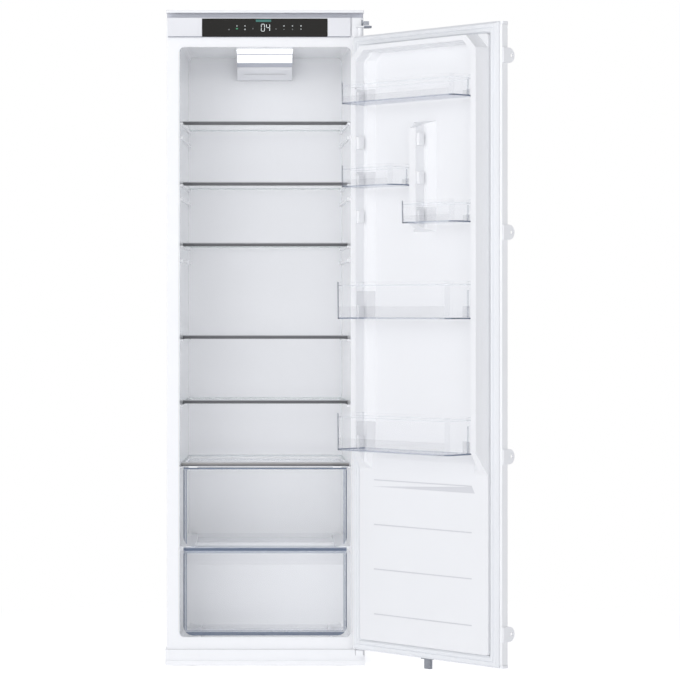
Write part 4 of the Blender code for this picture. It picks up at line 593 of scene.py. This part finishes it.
def crystal(name, colour, veil, edge_colour, edge_veil, roughness, start=0.80, end=0.99, passes=LAMPS_PASS,
            bands=()):
    """A clear wall: hardly there when looked through, and darker where the look runs along inside it.

    Rays from the lamps pass it nearly unweakened, as they pass a thin clear wall.
    """
    material, tree = blank(name)
    place = add(tree, "ShaderNodeTexCoord").outputs["Object"]
    flow = add(tree, "ShaderNodeTexNoise", {"Vector": place, "Scale": 1 / 0.05, "Detail": 1})
    gloss = add(tree, "ShaderNodeMapRange", {"Value": flow.outputs[0], "To Min": roughness * 0.8,
                                             "To Max": roughness * 1.2})
    relief = add(tree, "ShaderNodeBump", {"Height": flow.outputs[0], "Strength": 0.3, "Distance": 0.0002})
    slant = add(tree, "ShaderNodeLayerWeight", {"Blend": 0.5})
    along = add(tree, "ShaderNodeMapRange",
                {"Value": slant.outputs["Facing"], "From Min": start, "From Max": end})
    tone = add(tree, "ShaderNodeMix", {"Factor": along.outputs[0], "A": hue(colour), "B": hue(edge_colour)},
               data_type="RGBA")
    share = add(tree, "ShaderNodeMapRange", {"Value": along.outputs[0], "To Min": veil, "To Max": edge_veil})
    if bands:
        share = add(tree, "ShaderNodeValToRGB", {"Fac": slant.outputs["Facing"]})
        ramp = share.color_ramp.elements
        while len(ramp) < len(bands):
            ramp.new(0.5)
        for stop, (slope, dense) in zip(ramp, bands):
            stop.position = slope
            stop.color = (dense, dense, dense, 1)
    shader = add(tree, "ShaderNodeBsdfPrincipled",
                 {"Base Color": tone.outputs["Result"], "Roughness": gloss.outputs[0], "IOR": 1.57,
                  "Alpha": share.outputs[0], "Normal": relief.outputs[0]})
    path = add(tree, "ShaderNodeLightPath")
    lamps = add(tree, "ShaderNodeMath", {0: path.outputs["Is Shadow Ray"], 1: path.outputs["Is Diffuse Ray"]},
                operation="MAXIMUM")
    through = add(tree, "ShaderNodeMath", {0: lamps.outputs[0], 1: passes}, operation="MULTIPLY")
    open_way = add(tree, "ShaderNodeBsdfTransparent")
    wall = add(tree, "ShaderNodeMixShader",
               {0: through.outputs[0], 1: shader.outputs[0], 2: open_way.outputs[0]})
    add(tree, "ShaderNodeOutputMaterial", {"Surface": wall.outputs[0]})
    return material


def edge_faces(piece, material, widest):
    """Gives the narrow faces of a wall's edges their own material."""
    piece.data.materials.append(material)
    for face in piece.data.polygons:
        corners = [piece.data.vertices[i].co for i in face.vertices]
        round_it = sum((corners[i] - corners[i - 1]).length for i in range(len(corners)))
        if 2 * face.area < widest * round_it:
            tint(piece, face, material)


# A flat wall hardly shows. Edges, feet and rims, where the look runs along inside the wall, are painted
# darker and bluer, and floors and shaded parts get a faint grey veil of painted shade.
styrene = crystal("clear moulded styrene", "#f2f5f9", 0.022, "#b4bdca", 0.34, 0.05, 0.90)
styrene_edge = crystal("clear moulded styrene, edge of a wall", "#c9d0da", 0.20, "#66768c", 0.60, 0.12)
# A rounded corner shows two dark lines, where the look runs along inside the bend.
CORNER_BANDS = ((0.0, 0.04), (0.21, 0.06), (0.25, 0.75), (0.29, 0.75), (0.33, 0.38), (0.48, 0.42),
                (0.54, 0.93), (1.0, 0.95))
styrene_corner = crystal("clear moulded styrene, rounded corner", "#6f7b91", 0.05, "#434f66", 0.95, 0.06,
                         0.30, 0.56, bands=CORNER_BANDS)
styrene_foot = crystal("clear moulded styrene, foot of a wall", "#98a3b3", 0.45, "#7a8698", 0.75, 0.12)
styrene_dark = crystal("clear moulded styrene, thick edge", "#5f6c82", 0.86, "#4c586c", 0.92, 0.12)
styrene_floor = crystal("clear moulded styrene, floor", "#c9cedb", 0.16, "#8d97ac", 0.55, 0.08, 0.92)
styrene_line = crystal("clear moulded styrene, side edge", "#434f66", 0.90, "#3a4458", 0.95, 0.12)
styrene_painted_shade = crystal("clear moulded styrene, painted shade", "#adafb5", 0.15, "#9399a8", 0.36, 0.06, 0.92)
styrene_base = crystal("clear moulded styrene, bottom of a rack", "#c6cad9", 0.26, "#b4b9cd", 0.74, 0.08,
                       0.62, 0.92, passes=0.5)


# Door racks: five open bins of clear styrene, each moulded in one piece and hung on pegs of the
# door liner. A raised bead runs below the rim of the front wall and a thicker band along its
# foot. The lower part of the front wall gets painted shade, and the back wall has a hanging pocket
# at each end, shown only as painted shade.
EDGE_WIDE = 0.0020
BEAD_DROP = 0.0085
BEAD_TALL = 0.0014
BEAD_PROUD = 0.0007
FOOT_TALL = 0.0036
FOOT_PROUD = 0.0003
FOOT_START = 0.0004
BASE_TALL = 0.0040
OUTSIDE_FROM, FOOT_FROM, FRONT_FROM = 0.075, 0.080, 0.085
BACK_DEEP = 0.030
END_WIDE = 0.006
PAINTED_SHADE_SHARE = 0.34
POCKET_DEEP = 0.0526
POCKET_EDGE = 0.0045
POCKET_LONG = 0.0470
POCKET_SHARE = 0.76


def ring(piece, low, high, proud, wanted):
    """Raises a band of a bin's outer wall between two heights."""
    only(piece)
    bpy.ops.object.mode_set(mode="EDIT")
    for level in (low, high):
        bpy.ops.mesh.select_all(action="SELECT")
        bpy.ops.mesh.bisect(plane_co=(0, 0, level), plane_no=(0, 0, 1))
    bpy.ops.mesh.select_all(action="DESELECT")
    mesh = bmesh.from_edit_mesh(piece.data)
    for face in mesh.faces:
        heights = [v.co.z for v in face.verts]
        face.select = (min(heights) > low - WELD_REACH and max(heights) < high + WELD_REACH
                       and wanted(face))
    mesh.select_flush_mode()
    bmesh.update_edit_mesh(piece.data)
    bpy.ops.mesh.extrude_region_shrink_fatten(TRANSFORM_OT_shrink_fatten={"value": proud})
    bpy.ops.object.mode_set(mode="OBJECT")
    even_out(piece)


for number in range(1, 6):
    rack = softened(f"rack_{number}", f"door_bin_{number}", 0.0005)
    corners = [door_place.inverted() @ v.co for v in rack.data.vertices]
    start, end = min(c.y for c in corners), max(c.y for c in corners)
    middle = (start + end) / 2
    top = max(c.z for c in corners)

    def outer(face):
        """Whether a face belongs to the outside of the front wall, its corners or the ends near them."""
        away, across, up = door_axes @ face.normal
        centre = door_place.inverted() @ face.calc_center_median()
        if abs(up) > 0.3 or centre.x < OUTSIDE_FROM:
            return False
        return away > 0.3 or across * (centre.y - middle) > 0.3 * abs(centre.y - middle)

    ring(rack, top - BEAD_DROP - BEAD_TALL, top - BEAD_DROP, BEAD_PROUD, outer)
    low = min(c.z for c in corners if c.x > FOOT_FROM)
    ring(rack, low + FOOT_START, low + FOOT_TALL, FOOT_PROUD, outer)
    outward, along = (door_axes.inverted() @ Vector(axis) for axis in ((1, 0, 0), (0, 1, 0)))
    shade_line = low + PAINTED_SHADE_SHARE * (top - low)
    pocket = low + POCKET_SHARE * (top - low)
    split(rack, ((0, 0, shade_line), (0, 0, 1)), ((0, 0, pocket), (0, 0, 1)),
          *((door_place @ Vector((deep, 0, 0)), outward)
            for deep in (POCKET_DEEP, POCKET_DEEP + POCKET_EDGE)),
          *((door_place @ Vector((0, place, 0)), along)
            for place in (start + POCKET_LONG, end - POCKET_LONG)))
    even_out(rack)
    # The bead and the band end where the solid ends at the front.
    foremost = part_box(f"rack_{number}")[0].y
    for vertex in rack.data.vertices:
        vertex.co.y = max(vertex.co.y, foremost)
    dress(rack, styrene)
    edge_faces(rack, styrene_edge, EDGE_WIDE)
    for material in (styrene_foot, styrene_base, styrene_corner, styrene_dark, styrene_painted_shade):
        rack.data.materials.append(material)
    for face in rack.data.polygons:
        away, across, up = door_axes @ face.normal
        centre = door_place.inverted() @ face.center
        if centre.z < low + FOOT_TALL + FOOT_PROUD and abs(up) < 0.8 and away > -0.5:
            tint(rack, face, styrene_dark if abs(across) > 0.5 else styrene_foot)
        elif centre.z < low + BASE_TALL and abs(up) > 0.8:
            tint(rack, face, styrene_base)
        elif abs(up) < 0.3 and min(abs(away), abs(across)) > 0.2 and centre.x > FRONT_FROM:
            tint(rack, face, styrene_corner)
        elif away < -0.8 and centre.x < BACK_DEEP and centre.y > end - END_WIDE:
            tint(rack, face, styrene_foot)
        # The lower part of the front wall gets painted shade.
        elif away > 0.9 and centre.x > FRONT_FROM and centre.z < shade_line:
            tint(rack, face, styrene_painted_shade)
        # The hanging pockets are painted shade, with a darker band at the free end.
        elif (centre.z < pocket and min(centre.y - start, end - centre.y) < POCKET_LONG
              and abs(up) < 0.3):
            free = centre.y > middle
            if centre.x < POCKET_DEEP and not (free and centre.z > shade_line):
                tint(rack, face, styrene_painted_shade)
            elif free and across < -0.8 and POCKET_DEEP < centre.x < POCKET_DEEP + POCKET_EDGE:
                tint(rack, face, styrene_foot)


# The two drawers: clear moulded styrene, thick at the foot and rim of the front wall, and slid in loose.
# The foot, the rim and the sides of the front are painted darker where the look runs along inside
# the plastic. The lower one has a lip that stands up in front of the ledges that carry the upper one.
LIP_DEEP = 0.0105
LIP_TALL = 0.0112
LIP_FOOT = 0.0015
LIP_SHINE = 0.0030
PAINTED_SHADOW_DEEP = 0.0360
SIDE_LINE = 0.0028
SIDE_BAND = 0.0070
SIDE_EDGE = 0.0088
DRAWER_FOOT = 0.0095
DRAWER_LINE = 0.0016
DRAWER_RIM = 0.0042
RIM_SHADE = 0.0055
RIM_REACH = 0.001
FADE_SHARE = 0.6
FRONT_DEEP, FACE_DEEP = 0.030, 0.004
for node, name in (("drawer_upper", "crisper_bin_upper"), ("drawer_lower", "crisper_bin_lower")):
    drawer = softened(node, name, 0.0006, steps=2)
    low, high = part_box(node)
    upper = node == "drawer_upper"
    line = low.z + (DRAWER_LINE if upper else DRAWER_FOOT)
    fade = line + (0 if upper else FADE_SHARE * DRAWER_FOOT)
    rim = high.z - DRAWER_RIM if upper else high.z + LIP_FOOT
    shade = high.z - RIM_SHADE
    if not upper:
        split(drawer, ((0, low.y + LIP_DEEP, 0), (0, 1, 0)))
        bpy.ops.object.mode_set(mode="EDIT")
        bpy.ops.mesh.select_all(action="DESELECT")
        mesh = bmesh.from_edit_mesh(drawer.data)
        for face in mesh.faces:
            centre = face.calc_center_median()
            face.select = (face.normal.z > 0.9 and centre.z > high.z - RIM_REACH
                           and centre.y < low.y + LIP_DEEP)
        mesh.select_flush_mode()
        bmesh.update_edit_mesh(drawer.data)
        bpy.ops.mesh.extrude_region_move(TRANSFORM_OT_translate={"value": (0, 0, LIP_TALL)})
        bpy.ops.object.mode_set(mode="OBJECT")
    levels = sorted({line, fade, rim, shade, high.z + LIP_TALL - LIP_SHINE, high.z - PAINTED_SHADOW_DEEP})
    split(drawer, *(((0, 0, level), (0, 0, 1)) for level in levels),
          *(((side * (high.x - deep), 0, 0), (1, 0, 0)) for side in (-1, 1)
            for deep in (SIDE_LINE, SIDE_BAND, SIDE_EDGE)))
    even_out(drawer)
    dress(drawer, styrene)
    for material in (styrene_dark, styrene_line, styrene_foot, styrene_floor, styrene_edge, styrene_painted_shade):
        drawer.data.materials.append(material)
    for face in drawer.data.polygons:
        normal, centre = face.normal, face.center
        front = centre.y < low.y + FRONT_DEEP
        from_side = high.x - abs(centre.x)
        if not upper and centre.z > high.z + LIP_TALL - LIP_SHINE:
            tint(drawer, face, styrene_foot)
        elif centre.z > rim:
            tint(drawer, face, styrene_dark if front else styrene_edge)
        # Just below the top, the front gets a darker band of painted shade.
        elif centre.z > shade and front:
            tint(drawer, face, styrene_foot)
        elif front and normal.y < -0.3 and centre.z < fade:
            tint(drawer, face, styrene_dark if centre.z < line else styrene_foot)
        elif abs(normal.z) > 0.8:
            tint(drawer, face, styrene_floor)
        # The front's sides get painted dark strips, where the look runs along the rounded corners.
        elif centre.y < low.y + FACE_DEEP and normal.y < -0.3 and from_side < SIDE_EDGE:
            tint(drawer, face, styrene_line if from_side < SIDE_LINE
                 else styrene_foot if from_side < SIDE_BAND else styrene_dark)
        # The top of the lower drawer's front gets a band of painted shadow cast from the ledges above.
        elif not upper and normal.y < -0.9 and front and centre.z > high.z - PAINTED_SHADOW_DEEP:
            tint(drawer, face, styrene_painted_shade)


# Shelves and drawer cover: toughened float glass with ground edges, each pushed into a dark
# grey moulded front trim.
# Float glass hardly shows face on and is grey-green along its edges. The trim is dark with a
# soft sheen, with painted highlights: paler along its upper edge, and on the drawer cover's trim a warm grey
# band below that.
glass = crystal("toughened float glass", "#eef4f4", 0.05, "#8fa5a3", 0.35, 0.03, 0.95)
glass_edge = crystal("toughened float glass, ground edge", "#b9c9c8", 0.45, "#8fa5a3", 0.60, 0.25)
grey_abs = coated("dark grey moulded ABS", "#5b5c5f", roughness=0.40, grain=0.0008, depth=0.00002)
trim_highlight = coated("pale grey ABS, painted highlight of a trim", "#b3b4b7", roughness=0.30, grain=0.0008, depth=0.00002)
trim_warm_highlight = coated("warm grey ABS, painted highlight of a trim's middle", "#8f8d8a", roughness=0.35, grain=0.0008, depth=0.00002)
GROUND_EDGE = 0.0046
SHELF_HIGHLIGHT = 0.0022
COVER_HIGHLIGHT, WARM_COVER_HIGHLIGHT = 0.0030, 0.0065


def highlight_bands(trim, top, *bands):
    """Gives a trim painted highlights: lighter tones from the upper edge down, each as deep as its band says.
    """
    split(trim, *(((0, 0, top - deep), (0, 0, 1)) for deep, tone in bands))
    for deep, tone in bands:
        trim.data.materials.append(tone)
    for face in trim.data.polygons:
        for deep, tone in reversed(bands):
            if face.center.z > top - deep:
                tint(trim, face, tone)


for number in range(1, 6):
    plate = softened(f"shelf_glass_{number}", f"glass_plate_{number}", 0.0004)
    dress(plate, glass)
    edge_faces(plate, glass_edge, GROUND_EDGE)
    trim = softened(f"shelf_trim_{number}", f"glass_plate_trim_{number}", 0.0012, steps=3)
    dress(trim, grey_abs)
    highlight_bands(trim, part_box(f"shelf_trim_{number}")[1].z, (SHELF_HIGHLIGHT, trim_highlight))
plate = softened("cover_glass", "drawer_cover_plate", 0.0004)
dress(plate, glass)
edge_faces(plate, glass_edge, GROUND_EDGE)
cover_trim = softened("cover_trim", "drawer_cover_trim", 0.0006, steps=2)
dress(cover_trim, grey_abs)
highlight_bands(cover_trim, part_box("cover_trim")[1].z, (COVER_HIGHLIGHT, trim_highlight), (WARM_COVER_HIGHLIGHT, trim_warm_highlight))
# The two clips under the trim are white.
CLIP_TOP = 0.5374
cover_trim.data.materials.append(white_abs)
for face in cover_trim.data.polygons:
    if face.center.z < CLIP_TOP:
        tint(cover_trim, face, white_abs)
